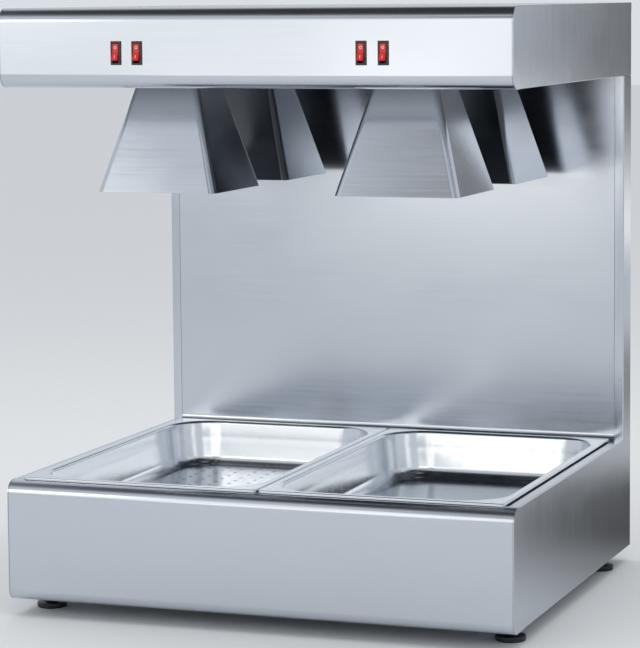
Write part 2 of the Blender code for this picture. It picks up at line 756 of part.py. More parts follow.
def add_canopy_underside(body):
    """The panel that closes the canopy from below and carries the shades, with a hole for each lamp."""
    outline = rectangle(-INNER_HALF_WIDTH, CANOPY_RADIUS, INNER_HALF_WIDTH, COLUMN_FRONT - SEAT_GAP)
    bm = extrusion(outline, "Z", UNDERSIDE_BOTTOM, UNDERSIDE_TOP)
    panel = add_object("canopy_underside", bm, panel_steel("canopy_underside"), body)
    holes = bmesh.new()
    for _, x, y in lamp_places():
        fill_cylinder(holes, (x, y, UNDERSIDE_BOTTOM), LAMP_HOLE_RADIUS, 2 * OVERRUN)
    combine(panel, "canopy_underside_lamp_holes", holes)


def add_lamp_rail(row, body):
    """A channel across the canopy that the holders of one row hang from."""
    y = ROWS[row]
    half = LAMP_RAIL_WIDTH / 2
    section = folded_section([
        (y + half, LAMP_RAIL_TOP, 0), (y + half, LAMP_RAIL_BOTTOM, 0),
        (y - half, LAMP_RAIL_BOTTOM, 0), (y - half, LAMP_RAIL_TOP, 0),
    ])
    name = "lamp_rail_" + row
    add_object(name, extrusion(section, "X", -INNER_HALF_WIDTH, INNER_HALF_WIDTH), zinc_steel(name), body)


# Lamps

def add_at_each_lamp(stem, bm, material, z, body):
    """One object of the mesh on each lamp's axis."""
    first = None
    for place, x, y in lamp_places():
        name = stem + "_" + place
        if first is None:
            first = add_object(name, bm, material, body)
            first.location = (x, y, z)
        else:
            add_copy(name, first, (x, y, z))


def shade_mesh():
    """A folded four-sided shade, open below, with a round hole in its top plate; z = 0 at its top."""
    bottom = SHADE_BOTTOM_WIDTH / 2
    top = SHADE_TOP_WIDTH / 2
    slope = (bottom - top) / SHADE_HEIGHT
    wall = SHEET * math.hypot(1, slope)

    def ring(half, z):
        return rounded_ring(half, half, SHADE_CORNER, z, SHADE_CORNER_STEPS)

    outer_top = ring(top, 0)
    count = len(outer_top)
    first_angle = (math.tau / 8) - math.tau / count * SHADE_CORNER_STEPS / 2
    return loft([
        ring(bottom, -SHADE_HEIGHT),
        outer_top,
        circle_ring(LAMP_HOLE_RADIUS, 0, count, first_angle),
        circle_ring(LAMP_HOLE_RADIUS, -SHEET, count, first_angle),
        ring(top + slope * SHEET - wall, -SHEET),
        ring(bottom - wall, -SHADE_HEIGHT),
    ], closed=True)


def holder_mesh():
    """A porcelain lamp holder hanging from z = 0, with the bore for the lamp's cap."""
    bore = CAP_RADIUS + CAP_CLEARANCE
    bore_top = HOLDER_BORE_DEPTH - HOLDER_HEIGHT
    return turned([
        (0, 0), (HOLDER_RADIUS - HOLDER_SHOULDER, 0), (HOLDER_RADIUS, -HOLDER_SHOULDER),
        (HOLDER_RADIUS, -HOLDER_HEIGHT), (bore, -HOLDER_HEIGHT), (bore, bore_top), (0, bore_top),
    ])


def cap_mesh():
    """The lamp's screw cap with its contact tip; z = 0 at its top."""
    return turned([
        (0, 0), (CAP_TIP_RADIUS, 0), (CAP_TIP_RADIUS, -CAP_TIP_HEIGHT), (CAP_RADIUS, -2 * CAP_TIP_HEIGHT),
        (CAP_RADIUS, -CAP_HEIGHT), (0, -CAP_HEIGHT),
    ])


def bulb_mesh():
    """The lamp's glass, a shell open at the neck; z = 0 at its top."""
    outer = [(radius * BULB_RADIUS, -drop * BULB_LENGTH) for radius, drop in BULB_SHARES]
    inner = []
    for index, place in enumerate(outer):
        before = Vector(outer[max(index - 1, 0)])
        after = Vector(outer[index + 1]) if index + 1 < len(outer) else Vector((0, -BULB_LENGTH))
        inward = right_normal(before, after) * GLASS
        inner.append((place[0] + inward.x, place[1] + inward.y if index else 0))
    inner.append((0, GLASS - BULB_LENGTH))
    return turned([(0, -BULB_LENGTH)] + outer[::-1] + inner)


def add_lamps(body):
    add_at_each_lamp("lamp_shade", shade_mesh(), panel_steel("lamp_shade"), SHADE_TOP, body)
    add_at_each_lamp("lamp_holder", holder_mesh(), porcelain("lamp_holder"), HOLDER_TOP, body)
    add_at_each_lamp("lamp_cap", cap_mesh(), brass("lamp_cap"), CAP_TOP, body)
    add_at_each_lamp("heat_lamp", bulb_mesh(), clear_glass("heat_lamp"), GLASS_TOP, body)


# Switches

def switch_body_mesh():
    """A switch's bezel and body with the rocker's pocket; y = 0 at the canopy's face."""
    half_x = BEZEL_WIDTH / 2
    half_z = BEZEL_HEIGHT / 2
    pocket_x = ROCKER_WIDTH / 2 + ROCKER_SIDE_GAP
    pocket_z = ROCKER_REACH + ROCKER_END_GAP
    return loft([
        upright_rectangle(SWITCH_BODY_WIDTH / 2, SWITCH_BODY_HEIGHT / 2, SWITCH_BODY_DEPTH),
        upright_rectangle(SWITCH_BODY_WIDTH / 2, SWITCH_BODY_HEIGHT / 2, -SEAT_GAP),
        upright_rectangle(half_x, half_z, -SEAT_GAP),
        upright_rectangle(half_x, half_z, BEZEL_FACE + BEZEL_CHAMFER),
        upright_rectangle(half_x - BEZEL_CHAMFER, half_z - BEZEL_CHAMFER, BEZEL_FACE),
        upright_rectangle(pocket_x, pocket_z, BEZEL_FACE),
        upright_rectangle(pocket_x, pocket_z, BEZEL_FACE + SWITCH_POCKET_DEPTH),
    ])


def rocker_mesh():
    """A rocker with its pivot at the origin: two flats that meet in a shallow valley."""
    heel = ROCKER_HALF_HEIGHT * ROCKER_HEEL_SHARE
    outline = [
        (-ROCKER_FRONT, 0, 0), (-ROCKER_TIP, ROCKER_HALF_HEIGHT, ROCKER_EDGE), (0, ROCKER_HALF_HEIGHT, 0),
        (ROCKER_BACK, heel, 0), (ROCKER_BACK, -heel, 0), (0, -ROCKER_HALF_HEIGHT, 0),
        (-ROCKER_TIP, -ROCKER_HALF_HEIGHT, ROCKER_EDGE),
    ]
    return extrusion(rounded_path(outline, closed=True, steps=2), "X", -ROCKER_WIDTH / 2, ROCKER_WIDTH / 2)


def add_switches(body):
    """Each rocker turns about its own origin; at rest its upper half is pressed in."""
    frame = rocker = None
    for place, x in switch_places():
        frame_name = "switch_body_" + place
        rocker_name = "rocker_" + place
        if frame is None:
            frame = add_object(frame_name, switch_body_mesh(), black_plastic("switch_body"), body)
            frame.location = (x, 0, SWITCH_Z)
            rocker = add_object(rocker_name, rocker_mesh(), red_plastic("rocker"), body)
            rocker.location = (x, ROCKER_PIVOT_Y, SWITCH_Z)
            rocker.rotation_euler = (-ROCKER_TILT, 0, 0)
        else:
            add_copy(frame_name, frame, (x, 0, SWITCH_Z))
            add_copy(rocker_name, rocker, (x, ROCKER_PIVOT_Y, SWITCH_Z))


# Feet

def foot_mesh():
    """A pad, a collar up to the floor panel and a threaded stud, drawn plain; z = 0 on the counter."""
    collar_top = FLOOR_BOTTOM - SEAT_GAP
    stud_top = FLOOR_TOP + STUD_REACH
    return turned([
        (0, 0), (FOOT_RADIUS - FOOT_BEVEL, 0), (FOOT_RADIUS, FOOT_BEVEL),
        (FOOT_RADIUS, FOOT_THICKNESS - FOOT_BEVEL), (FOOT_RADIUS - FOOT_SLOPE, FOOT_THICKNESS),
        (COLLAR_RADIUS, FOOT_THICKNESS + FOOT_BEVEL), (COLLAR_RADIUS, collar_top), (STUD_RADIUS, collar_top),
        (STUD_RADIUS, stud_top - STUD_CHAMFER), (STUD_RADIUS - STUD_CHAMFER, stud_top), (0, stud_top),
    ], FOOT_STEPS)


def bush_mesh():
    """A threaded bush that the stud screws through; z = 0 at its lower face."""
    bore = STUD_RADIUS + SEAT_GAP
    return loft([
        circle_ring(BUSH_RADIUS, 0, BUSH_SIDES),
        circle_ring(BUSH_RADIUS, BUSH_HEIGHT, BUSH_SIDES),
        circle_ring(bore, BUSH_HEIGHT, BUSH_SIDES),
        circle_ring(bore, 0, BUSH_SIDES),
    ], closed=True)


def add_feet(body):
    foot = bush = None
    for place, x, y in foot_places():
        if foot is None:
            foot = add_object("foot_" + place, foot_mesh(), black_plastic("foot"), body)
            foot.location = (x, y, 0)
            bush = add_object("foot_bush_" + place, bush_mesh(), zinc_steel("foot_bush"), body)
            bush.location = (x, y, FLOOR_TOP + SEAT_GAP)
        else:
            add_copy("foot_" + place, foot, (x, y, 0))
            add_copy("foot_bush_" + place, bush, (x, y, FLOOR_TOP + SEAT_GAP))


# Electrics

def add_mains_inlet(body):
    """The appliance inlet, its socket open to the rear, with three pins standing in it."""
    half_x = INLET_BODY_WIDTH / 2
    half_z = INLET_BODY_HEIGHT / 2
    flange_x = INLET_FLANGE_WIDTH / 2
    flange_z = INLET_FLANGE_HEIGHT / 2
    seat = SEAT_GAP
    face = seat + INLET_FLANGE_THICKNESS
    bm = loft([
        upright_rectangle(half_x, half_z, face - INLET_BODY_DEPTH),
        upright_rectangle(half_x, half_z, seat),
        upright_rectangle(flange_x, flange_z, seat),
        upright_rectangle(flange_x, flange_z, face),
        upright_rectangle(INLET_SOCKET_WIDTH / 2, INLET_SOCKET_HEIGHT / 2, face),
        upright_rectangle(INLET_SOCKET_WIDTH / 2, INLET_SOCKET_HEIGHT / 2, face - INLET_SOCKET_DEPTH),
    ])
    inlet = add_object("mains_inlet", bm, black_plastic("mains_inlet"), body)
    inlet.location = (INLET_X, REAR_PANEL_BACK, INLET_Z)
    pins = bmesh.new()
    root = face - INLET_SOCKET_DEPTH - SHEET
    half_width = INLET_PIN_WIDTH / 2
    half_height = INLET_PIN_HEIGHT / 2
    for x, z in ((-INLET_PIN_SPREAD, 0), (0, INLET_PIN_RISE), (INLET_PIN_SPREAD, 0)):
        outline = rectangle(x - half_width, z - half_height, x + half_width, z + half_height)
        fill_extrusion(pins, outline, "Y", root, root + SHEET + INLET_PIN_LENGTH)
    combine(inlet, "mains_inlet_pins", pins, "UNION")


def terminal_rear():
    return COLUMN_FRONT - TERMINAL_SETBACK


def add_terminal_block(body):
    """A row of screw terminals on the canopy's underside panel, parted by notches."""
    bottom = UNDERSIDE_TOP + SEAT_GAP
    top = bottom + TERMINAL_HEIGHT
    half_notch = TERMINAL_NOTCH_WIDTH / 2
    left = TERMINAL_X - TERMINAL_POLES * TERMINAL_POLE_WIDTH / 2
    outline = [(left, bottom), (left, top)]
    for pole in range(1, TERMINAL_POLES):
        low_x = left + pole * TERMINAL_POLE_WIDTH - half_notch
        high_x = low_x + TERMINAL_NOTCH_WIDTH
        floor = top - TERMINAL_NOTCH_DEPTH
        outline += [(low_x, top), (low_x, floor), (high_x, floor), (high_x, top)]
    right = left + TERMINAL_POLES * TERMINAL_POLE_WIDTH
    outline += [(right, top), (right, bottom)]
    rear = terminal_rear()
    bm = extrusion(outline, "Y", rear - TERMINAL_WIDTH, rear)
    add_object("terminal_block", bm, porcelain("terminal_block"), body, smooth=False)


def lead_route():
    """The lead's own points: out of the inlet, up inside the column and over the back panel.

    Its first and last runs are straight, so that its ends meet the inlet and the terminals squarely.
    """
    inlet_rear = REAR_PANEL_BACK + INLET_FLANGE_THICKNESS - INLET_BODY_DEPTH
    shaft = COLUMN_FRONT + COLUMN_DEPTH / 2
    over = CANOPY_BOTTOM + BACK_PANEL_RISE + LEAD_BEND
    block_z = UNDERSIDE_TOP + SEAT_GAP + TERMINAL_HEIGHT / 2
    block_y = terminal_rear() + SEAT_GAP
    return [
        (INLET_X, inlet_rear, INLET_Z),
        (INLET_X, inlet_rear - 2 * LEAD_RADIUS, INLET_Z),
        (INLET_X, inlet_rear - LEAD_BEND, INLET_Z + LEAD_BEND),
        (INLET_X, shaft, BASE_TOP),
        (INLET_X, shaft, BASE_TOP + BASE_HEIGHT),
        ((INLET_X + TERMINAL_X) / 2, shaft, (BASE_TOP + CANOPY_BOTTOM) / 2),
        (TERMINAL_X, shaft, CANOPY_BOTTOM - BASE_HEIGHT),
        (TERMINAL_X, shaft, CANOPY_BOTTOM),
        (TERMINAL_X, COLUMN_FRONT + LEAD_RADIUS, over),
        (TERMINAL_X, COLUMN_FRONT - LEAD_BEND, over - LEAD_RADIUS),
        (TERMINAL_X, block_y + 2 * LEAD_RADIUS, block_z),
        (TERMINAL_X, block_y, block_z),
    ]


def smooth_route(places, per_span):
    """Points of a smooth curve through every place."""
    places = [Vector(place) for place in places]
    padded = [places[0] * 2 - places[1]] + places + [places[-1] * 2 - places[-2]]
    points = []
    for index in range(1, len(padded) - 2):
        before, start, end, after = padded[index - 1:index + 3]
        for step in range(per_span):
            share = step / per_span
            points.append(
                (start * 2 + (end - before) * share
                 + (before * 2 - start * 5 + end * 4 - after) * share ** 2
                 + (start * 3 - before - end * 3 + after) * share ** 3) / 2
            )
    return points + [places[-1]]


def add_supply_lead(body):
    """The internal lead from the inlet to the terminal block, a round sheathed cable."""
    curve = bpy.data.curves.new("supply_lead", "CURVE")
    curve.dimensions = "3D"
    curve.bevel_depth = LEAD_RADIUS
    curve.bevel_resolution = 2
    curve.use_fill_caps = True
    route = lead_route()
    points = [route[0]] + smooth_route(route[1:-1], LEAD_POINTS_PER_SPAN) + [route[-1]]
    spline = curve.splines.new("POLY")
    spline.points.add(len(points) - 1)
    for target, point in zip(spline.points, points):
        target.co = (*point, 1)
    link("supply_lead", curve, grey_lead("supply_lead"), body)


def add_cover_screws(body):
    """Pan-head screws that hold the column's rear cover to the side sheets' flanges."""
    screw = None
    head_seat = REAR_PANEL_BACK + SEAT_GAP
    half_head = SCREW_HEAD_HEIGHT / 2
    for side_name, side in SIDES.items():
        for level, (x, z) in zip(("lower", "upper"), screw_places(side)):
            name = "cover_screw_" + level + "_" + side_name
            if screw is None:
                bm = turned([
                    (0, SCREW_HEAD_HEIGHT), (SCREW_HEAD_RADIUS - half_head, SCREW_HEAD_HEIGHT),
                    (SCREW_HEAD_RADIUS, half_head), (SCREW_HEAD_RADIUS, 0), (SCREW_RADIUS, 0),
                    (SCREW_RADIUS, -SCREW_LENGTH), (0, -SCREW_LENGTH),
                ], SCREW_STEPS)
                screw = add_object(name, bm, zinc_steel("cover_screw"), body)
                screw.rotation_euler = (-math.pi / 2, 0, 0)
                screw.location = (x, head_seat, z)
            else:
                add_copy(name, screw, (x, head_seat, z))


def main():
    clear_scene()
    body = bpy.data.objects.new("body_origin", None)
    bpy.context.scene.collection.objects.link(body)
    body.location = (0, FRONT_Y, 0)
    add_base_front(body)
    for side_name, side in SIDES.items():
        add_side_panel("side_panel_" + side_name, side, body)
        add_canopy_end("canopy_end_" + side_name, side, body)
    add_floor_panel(body)
    add_rear_panels(body)
    add_back_panel(body)
    add_pan_rails(body)
    left_pan = add_pan("pan_left", -1, body)
    add_pan("pan_right", 1, body)
    add_drainer(left_pan)
    add_canopy_shell(body)
    add_canopy_underside(body)
    for row in ROWS:
        add_lamp_rail(row, body)
    add_lamps(body)
    add_switches(body)
    add_feet(body)
    add_mains_inlet(body)
    add_terminal_block(body)
    add_supply_lead(body)
    add_cover_screws(body)


main()
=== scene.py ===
"""Dresses a counter-top chip warmer: folded brushed steel, pressed pans, shades, switches and feet.

Metres, +Z up, in the frame's own coordinates: the warmer faces -Y and stands on z = 0. Each piece is
modelled where its part of the frame is, so the sizes below are only those that the frame can't give.
"""

import json
import math

import bmesh
import bpy
from mathutils import Matrix, Vector


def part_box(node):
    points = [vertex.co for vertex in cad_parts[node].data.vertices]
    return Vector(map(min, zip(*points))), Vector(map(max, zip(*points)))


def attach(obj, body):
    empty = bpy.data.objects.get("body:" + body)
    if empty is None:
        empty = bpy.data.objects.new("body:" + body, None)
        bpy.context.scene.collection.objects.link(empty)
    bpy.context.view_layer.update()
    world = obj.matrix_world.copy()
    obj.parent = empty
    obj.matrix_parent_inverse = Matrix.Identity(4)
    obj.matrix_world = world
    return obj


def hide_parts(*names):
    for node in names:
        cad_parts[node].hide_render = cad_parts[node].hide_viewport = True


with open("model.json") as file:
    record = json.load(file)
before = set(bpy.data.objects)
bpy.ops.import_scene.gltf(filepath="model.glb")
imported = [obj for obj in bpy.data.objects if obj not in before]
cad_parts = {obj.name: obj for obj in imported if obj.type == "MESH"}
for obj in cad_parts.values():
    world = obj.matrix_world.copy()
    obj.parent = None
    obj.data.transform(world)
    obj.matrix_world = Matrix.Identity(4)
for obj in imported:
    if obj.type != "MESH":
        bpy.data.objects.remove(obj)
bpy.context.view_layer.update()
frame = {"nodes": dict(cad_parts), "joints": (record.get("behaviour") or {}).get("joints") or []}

bl_info = {
    "name": "Chip Warmer",
    "version": (1, 0, 0),
    "blender": (4, 5, 0),
    "location": "View3D > Sidebar > Chip Warmer",
    "description": "Models a counter-top chip warmer's steel cabinet, pans, lamps and switches",
    "category": "Add Mesh",
}

NEAR = 0.00002
X, Y, Z = range(3)
SIDES = {"left": -1, "right": 1}
CORNERS = ("front_left", "front_right", "rear_left", "rear_right")
SWITCHES = ("left_1", "left_2", "right_1", "right_2")

# Faces across each kind of fold and corner, and round each kind of turned piece
ROLL_STEPS = 16
CORNER_STEPS = 12
SMALL_CORNER_STEPS = 6
FOLD_STEPS = 4
FINE_FOLD_STEPS = 5
PAN_CORNER_STEPS = 24
PAN_FLOOR_STEPS = 16
PAN_SHOULDER_STEPS = 8
SHADE_CORNER_STEPS = 10
MOULDED_EDGE_STEPS = 3
HOLE_SIDES = 14
STUD_SIDES = 24
SMALL_ROUND_SIDES = 32
HOLDER_SIDES = 48
ROUND_SIDES = 64

SMOOTH_ANGLE = math.radians(30)
SOFTENED_ANGLE = math.radians(50)

# How deep the cutters are, so that they go well through a sheet
INLET_CUTTER_DEPTH = 0.024
LAMP_HOLE_CUTTER_DEPTH = 0.020
DRAIN_CUTTER_DEPTH = 0.004
# The flat ring round a pan's opening is this many times as wide as the radius that it rolls over
OPENING_BORDER = 1.4
# Each column of the drainer's holes is moved by this share of the pitch, one up and the next down
HOLE_STAGGER = 1 / 4

# A reflector lamp's glass from its neck down: shares of its widest radius and of its length
GLASS_SHARES = (
    (0.20, 0.00), (0.20, 0.03), (0.30, 0.08), (0.33, 0.20), (0.43, 0.29), (0.64, 0.43), (0.84, 0.60),
    (0.97, 0.74), (1.00, 0.83), (0.94, 0.91), (0.70, 0.97), (0.36, 0.99), (0.12, 1.00),
)
FROSTED_SHARE = 0.80

# A cover screw's head from its rim to its crown: radius and depth, as shares of the head's own
SCREW_HEAD_SHARES = ((1.00, 1.00), (1.00, 2 / 3), (0.92, 1 / 3), (0.65, 1 / 12), (0.25, 0.00))
RECESS_REACH_SHARE = 0.55
RECESS_DEPTH_SHARE = 0.6

# The studio's lights: place, the point they face, width, height, radiance, and whether metal shows them
LIGHTS = {
    "overhead_light": ((0, 0, 2.4), (0, 0, 0), 2.8, 2.8, 1.0, False),
    "front_light": ((-0.50, -2.3, 0.90), (-0.1, 0, 0.50), 2.0, 0.90, 0.58, True),
    "low_light": ((-0.66, -2.3, 0.42), (-0.3, 0, 0.25), 0.70, 0.26, 0.85, True),
    "bright_corner": ((-0.15, -2.2, 0.75), (0.2, 0, 0.5), 0.8, 0.7, 0.25, True),
    "right_light": ((1.10, -2.6, 1.20), (0.2, 0, 0.5), 1.3, 0.7, 1.05, True),
    "left_light": ((-1.43, -2.4, 1.27), (-0.2, 0, 0.3), 0.34, 0.6, 2.2, True),
}

# Glowing cards that only reflections show, as painted light and shade: middle, size (0 one way), tone,
# and the share of them that doesn't fade
CARDS = {
    "floor_card": ((0.40, 0.67, 0.003), (0.92, 1.6, 0), 0.10, 0.2),
    "far_floor_card": ((0.95, 1.9, 0.008), (1.3, 2.6, 0), 0.25, 0.2),
    "end_card": ((0.48, 1.1, 0.70), (0.8, 0, 0.75), 0.16, 0.2),
    "rim_card": ((1.1, 2.5, 0.42), (1.6, 0, 0.5), 1.4, 0.5),
    "ceiling_card": ((0.5, -0.5, 2.4), (6.0, 4.2, 0), 0.05, 0.5),
    "side_card": ((2.9, -1.2, 0.75), (2.4, 0, 0.9), 1.25, 0.4),
    "upper_card": ((-0.25, -2.35, 1.75), (1.3, 0, 1.3), 0.30, 0.2),
}

# The width of the camera's sensor, and how far the camera sees in metres
SENSOR_WIDTH_MM = 36
SEEN_AS_FAR_AS = 100


# Settings

def srgb(hex_colour):
    """An sRGB hex colour as linear red, green and blue."""
    channels = [int(hex_colour[i:i + 2], 16) / 255 for i in (0, 2, 4)]
    return tuple(c / 12.92 if c <= 0.04045 else ((c + 0.055) / 1.055) ** 2.4 for c in channels)


def length(label, description, default):
    return bpy.props.FloatProperty(
        name=label, description=description, default=default, min=0, unit="LENGTH", precision=5
    )


def colour(label, description, hex_colour):
    return bpy.props.FloatVectorProperty(
        name=label, description=description, default=srgb(hex_colour), min=0, max=1, subtype="COLOR"
    )


def number(label, description, default):
    return bpy.props.FloatProperty(name=label, description=description, default=default, min=0)


def angle(label, description, default):
    return bpy.props.FloatProperty(
        name=label, description=description, default=default, subtype="ANGLE"
    )


def place(label, description, default):
    return bpy.props.FloatVectorProperty(
        name=label, description=description, default=default, subtype="TRANSLATION", unit="LENGTH"
    )


class CabinetSizes(bpy.types.PropertyGroup):
    """Sheet metal of the base, the column and the canopy"""
    sheet: length("Sheet", "Thickness of the cabinet's sheet steel", 0.0012)
    fold: length("Fold", "Outer radius of a sharp fold", 0.0016)
    edge: length("Edge", "Rounding of a cut sheet edge", 0.0003)
    flange: length("Flange", "Width of the side sheets' inward flanges", 0.013)
    seat_gap: length("Seat gap", "Gap between two sheets that meet", 0.0003)
    base_top_radius: length("Base top radius", "Roll at the top of the base's front", 0.018)
    base_bottom_radius: length("Base bottom radius", "Roll at the bottom of the base's front", 0.014)
    front_lip: length("Front lip", "Depth of the base front's top behind its face", 0.024)
    cove_radius: length("Cove radius", "Cove at the foot of the back panel", 0.010)
    canopy_radius: length("Canopy radius", "Rolls at the canopy's front", 0.018)
    canopy_lip: length("Canopy lip", "Depth of the canopy front's bottom lip", 0.032)
    canopy_rear_drop: length("Canopy rear drop", "Turn-down at the rear of the canopy's top", 0.013)
    rear_corner: length("Rear corner", "Corner radius of the rear sheets", 0.002)
    socket_clearance: length("Socket clearance", "Gap round the inlet and the switches", 0.0003)


class PanSizes(bpy.types.PropertyGroup):
    """Pressed gastronorm pans and the drainer plate"""
    sheet: length("Sheet", "Thickness of the pans and the drainer", 0.001)
    rim: length("Rim", "Width of the flat rim", 0.0125)
    rim_drop: length("Rim drop", "Height of the rim's turned-down edge", 0.0035)
    rim_corner: length("Rim corner", "Outer corner radius of the rim", 0.006)
    rim_edge: length("Rim edge", "Radius of the rim's turned-down edge", 0.0014)
    opening_corner: length("Opening corner", "Corner radius of the opening", 0.058)
    shoulder: length("Shoulder", "Radius from the rim into the wall", 0.0040)
    step_depth: length("Step depth", "Depth of the stacking step below the rim", 0.023)
    step_width: length("Step width", "How far the stacking step goes in", 0.0010)
    step_height: length("Step height", "Height over which the stacking step goes in", 0.006)
    step_radius: length("Step radius", "Rounding of the stacking step", 0.0026)
    wall_lean: length("Wall lean", "How far the walls lean in down to the floor", 0.009)
    floor_radius: length("Floor radius", "Radius from the walls into the floor", 0.016)
    drainer_corner: length("Drainer corner", "Corner radius of the drainer plate", 0.026)
    hole: length("Hole", "Diameter of the drainer's holes", 0.005)
    hole_pitch: length("Hole pitch", "Pitch of the holes both ways", 0.0248)
    hole_margin: length("Hole margin", "Least distance from a hole to the drainer's edge", 0.018)


class LampSizes(bpy.types.PropertyGroup):
    """Lamp shades, lamps, caps and holders"""
    shade_bottom: length("Shade bottom", "Width across the shade's open end", 0.166)
    shade_top: length("Shade top", "Width across the shade's top plate", 0.088)
    shade_corner: length("Shade corner", "Radius of the shade's folded corners", 0.009)
    shade_fold: length("Shade fold", "Radius between the sides and the top plate", 0.002)
    lamp_hole: length("Lamp hole", "Radius of the hole in the top plate", 0.030)
    cap_tip: length("Cap tip", "Radius of the cap's contact", 0.005)
    cap_tip_height: length("Cap tip height", "Height of the cap's contact", 0.003)
    cap_thread: length("Cap thread", "Pitch of the cap's rolled thread", 0.0036)
    thread_depth: length("Thread depth", "Depth of the cap's rolled thread", 0.0008)
    holder_bore: length("Holder bore", "Radius of the holder's bore", 0.0134)
    holder_depth: length("Holder depth", "Depth of the holder's bore", 0.029)
    holder_shoulder: length("Holder shoulder", "Chamfer at the top of the holder", 0.006)
    holder_edge: length("Holder edge", "Rounding of the holder's rims", 0.001)


class SwitchSizes(bpy.types.PropertyGroup):
    """Rocker switches"""
    bezel: length("Bezel", "Thickness of the bezel in front of the canopy", 0.002)
    bezel_overlap: length("Bezel overlap", "How far the bezel reaches over the cut-out's edge", 0.0011)
    bezel_frame: length("Bezel frame", "Width of the bezel beside the rocker", 0.0025)
    bezel_end: length("Bezel end", "Width of the bezel above and below the rocker", 0.0027)
    pocket: length("Pocket", "Depth of the rocker's pocket", 0.0115)
    edge: length("Edge", "Rounding of the mouldings' edges", 0.0004)
    rocker_width: length("Rocker width", "Width of the rocker", 0.0078)
    rocker_height: length("Rocker height", "Height of the rocker", 0.0212)
    rocker_front: length("Rocker front", "From the pivot to the rocker's valley", 0.005)
    rocker_back: length("Rocker back", "From the pivot to the rocker's back", 0.0035)
    rocker_valley: length("Rocker valley", "Rounding between the rocker's two flats", 0.002)
    mark: length("Mark", "Outer radius of the O mark, and half the length of the I mark", 0.0019)
    mark_line: length("Mark line", "Width of the marks' lines", 0.0007)
    mark_height: length("Mark height", "How far the printed marks stand out", 0.00005)
    mark_place: number("Mark place", "The marks' height, as a share of half the rocker's", 0.55)
    tilt: angle("Tilt", "How far the rocker stands tipped", math.radians(12))


class FittingSizes(bpy.types.PropertyGroup):
    """Feet, mains inlet and screws"""
    pad: length("Pad", "Thickness of the foot's pad", 0.007)
    pad_edge: length("Pad edge", "Rounding of the pad's edges", 0.0012)
    pad_slope: length("Pad slope", "How far the pad's top slopes in", 0.004)
    pad_recess: length("Pad recess", "Width of the pad's ring that meets the table", 0.005)
    collar: length("Collar", "Radius of the foot's collar", 0.009)
    collar_top: length("Collar top", "Height of the collar's top", 0.0232)
    stud: length("Stud", "Outer radius of the foot's threaded stud", 0.004)
    stud_thread: length("Stud thread", "Pitch of the stud's thread", 0.00125)
    stud_thread_depth: length("Stud thread depth", "Depth of the stud's thread", 0.0007)
    inlet_flange: length("Inlet flange", "Thickness of the inlet's flange", 0.002)
    inlet_corner: length("Inlet corner", "Corner radius of the inlet's flange", 0.003)
    inlet_width: length("Inlet width", "Width of the inlet's body", 0.0272)
    inlet_height: length("Inlet height", "Height of the inlet's body", 0.0196)
    socket_width: length("Socket width", "Width of the inlet's socket", 0.0242)
    socket_height: length("Socket height", "Height of the inlet's socket", 0.0166)
    socket_depth: length("Socket depth", "Depth of the inlet's socket", 0.016)
    socket_chamfer: length("Socket chamfer", "Chamfer of the socket's two upper corners", 0.0045)
    pin_width: length("Pin width", "Thickness of the inlet's pins", 0.002)
    pin_height: length("Pin height", "Height of the inlet's pins", 0.004)
    pin_length: length("Pin length", "Length of the inlet's pins", 0.0135)
    pin_spread: length("Pin spread", "From the earth pin to the pins beside it", 0.007)
    pin_rise: length("Pin rise", "How far the earth pin stands above the others", 0.004)
    screw: length("Screw", "Radius of the cover screws' shank", 0.002)
    screw_head: length("Screw head", "Height of the cover screws' heads", 0.002)
    recess_arm: length("Recess arm", "Width of the arms of the screws' cross recess", 0.0009)


class FinishColours(bpy.types.PropertyGroup):
    """Colours of the finishes"""
    steel: colour("Steel", "Brushed stainless sheet", "C9CED6")
    mill_steel: colour("Mill steel", "Stainless sheet with its mill finish", "B4B8BC")
    pan_steel: colour("Pan steel", "Polished stainless of the pans", "D9DDE2")
    zinc: colour("Zinc", "Zinc-plated steel", "B4B8B8")
    porcelain: colour("Porcelain", "Glazed lamp holders and terminals", "ECE8DE")
    brass: colour("Brass", "Lamp caps", "CDA95C")
    glass: colour("Glass", "Frosted face of the lamps", "F2F2EE")
    silvering: colour("Silvering", "Mirror coat of the lamps", "E2E2DE")
    black: colour("Black", "Switch and inlet mouldings", "23262A")
    red: colour("Red", "Rockers", "D0201C")
    mark: colour("Mark", "Printed marks on the rockers", "FFC9BE")
    foot: colour("Foot", "Foot mouldings", "17181A")
    sheath: colour("Sheath", "Sheath of the supply lead", "4A4D50")
    floor: colour("Floor", "Studio floor", "D9DDE2")
    backdrop: colour("Backdrop", "What is seen beyond the floor", "DADFE5")
    lamp: colour("Lamp light", "Light of the studio's lamps", "FFFBEE")


class StudioSettings(bpy.types.PropertyGroup):
    """Camera, floor and lights"""
    camera_place: place("Camera place", "Where the camera stands", (1.2605, -3.5111, 0.8063))
    camera_turn: angle("Camera turn", "Turn to the left of +Y", 0.3484)
    camera_dip: angle("Camera dip", "Tilt below the horizon", 0.0952)
    camera_roll: angle("Camera roll", "Roll about the line of sight", -0.0081)
    focal_length: number("Focal length", "Focal length of the lens in millimetres", 154.26)
    shift: bpy.props.FloatProperty(
        name="Shift", description="Vertical shift as a share of the frame's long side", default=-0.1003
    )
    floor_size: length("Floor size", "Width of the studio floor", 40)
    room_light: number("Room light", "Strength of the soft light from all around", 0.85)


SETTINGS = {
    "chip_warmer_cabinet": CabinetSizes,
    "chip_warmer_pans": PanSizes,
    "chip_warmer_lamps": LampSizes,
    "chip_warmer_switches": SwitchSizes,
    "chip_warmer_fittings": FittingSizes,
    "chip_warmer_finish": FinishColours,
    "chip_warmer_studio": StudioSettings,
}


# Modelling

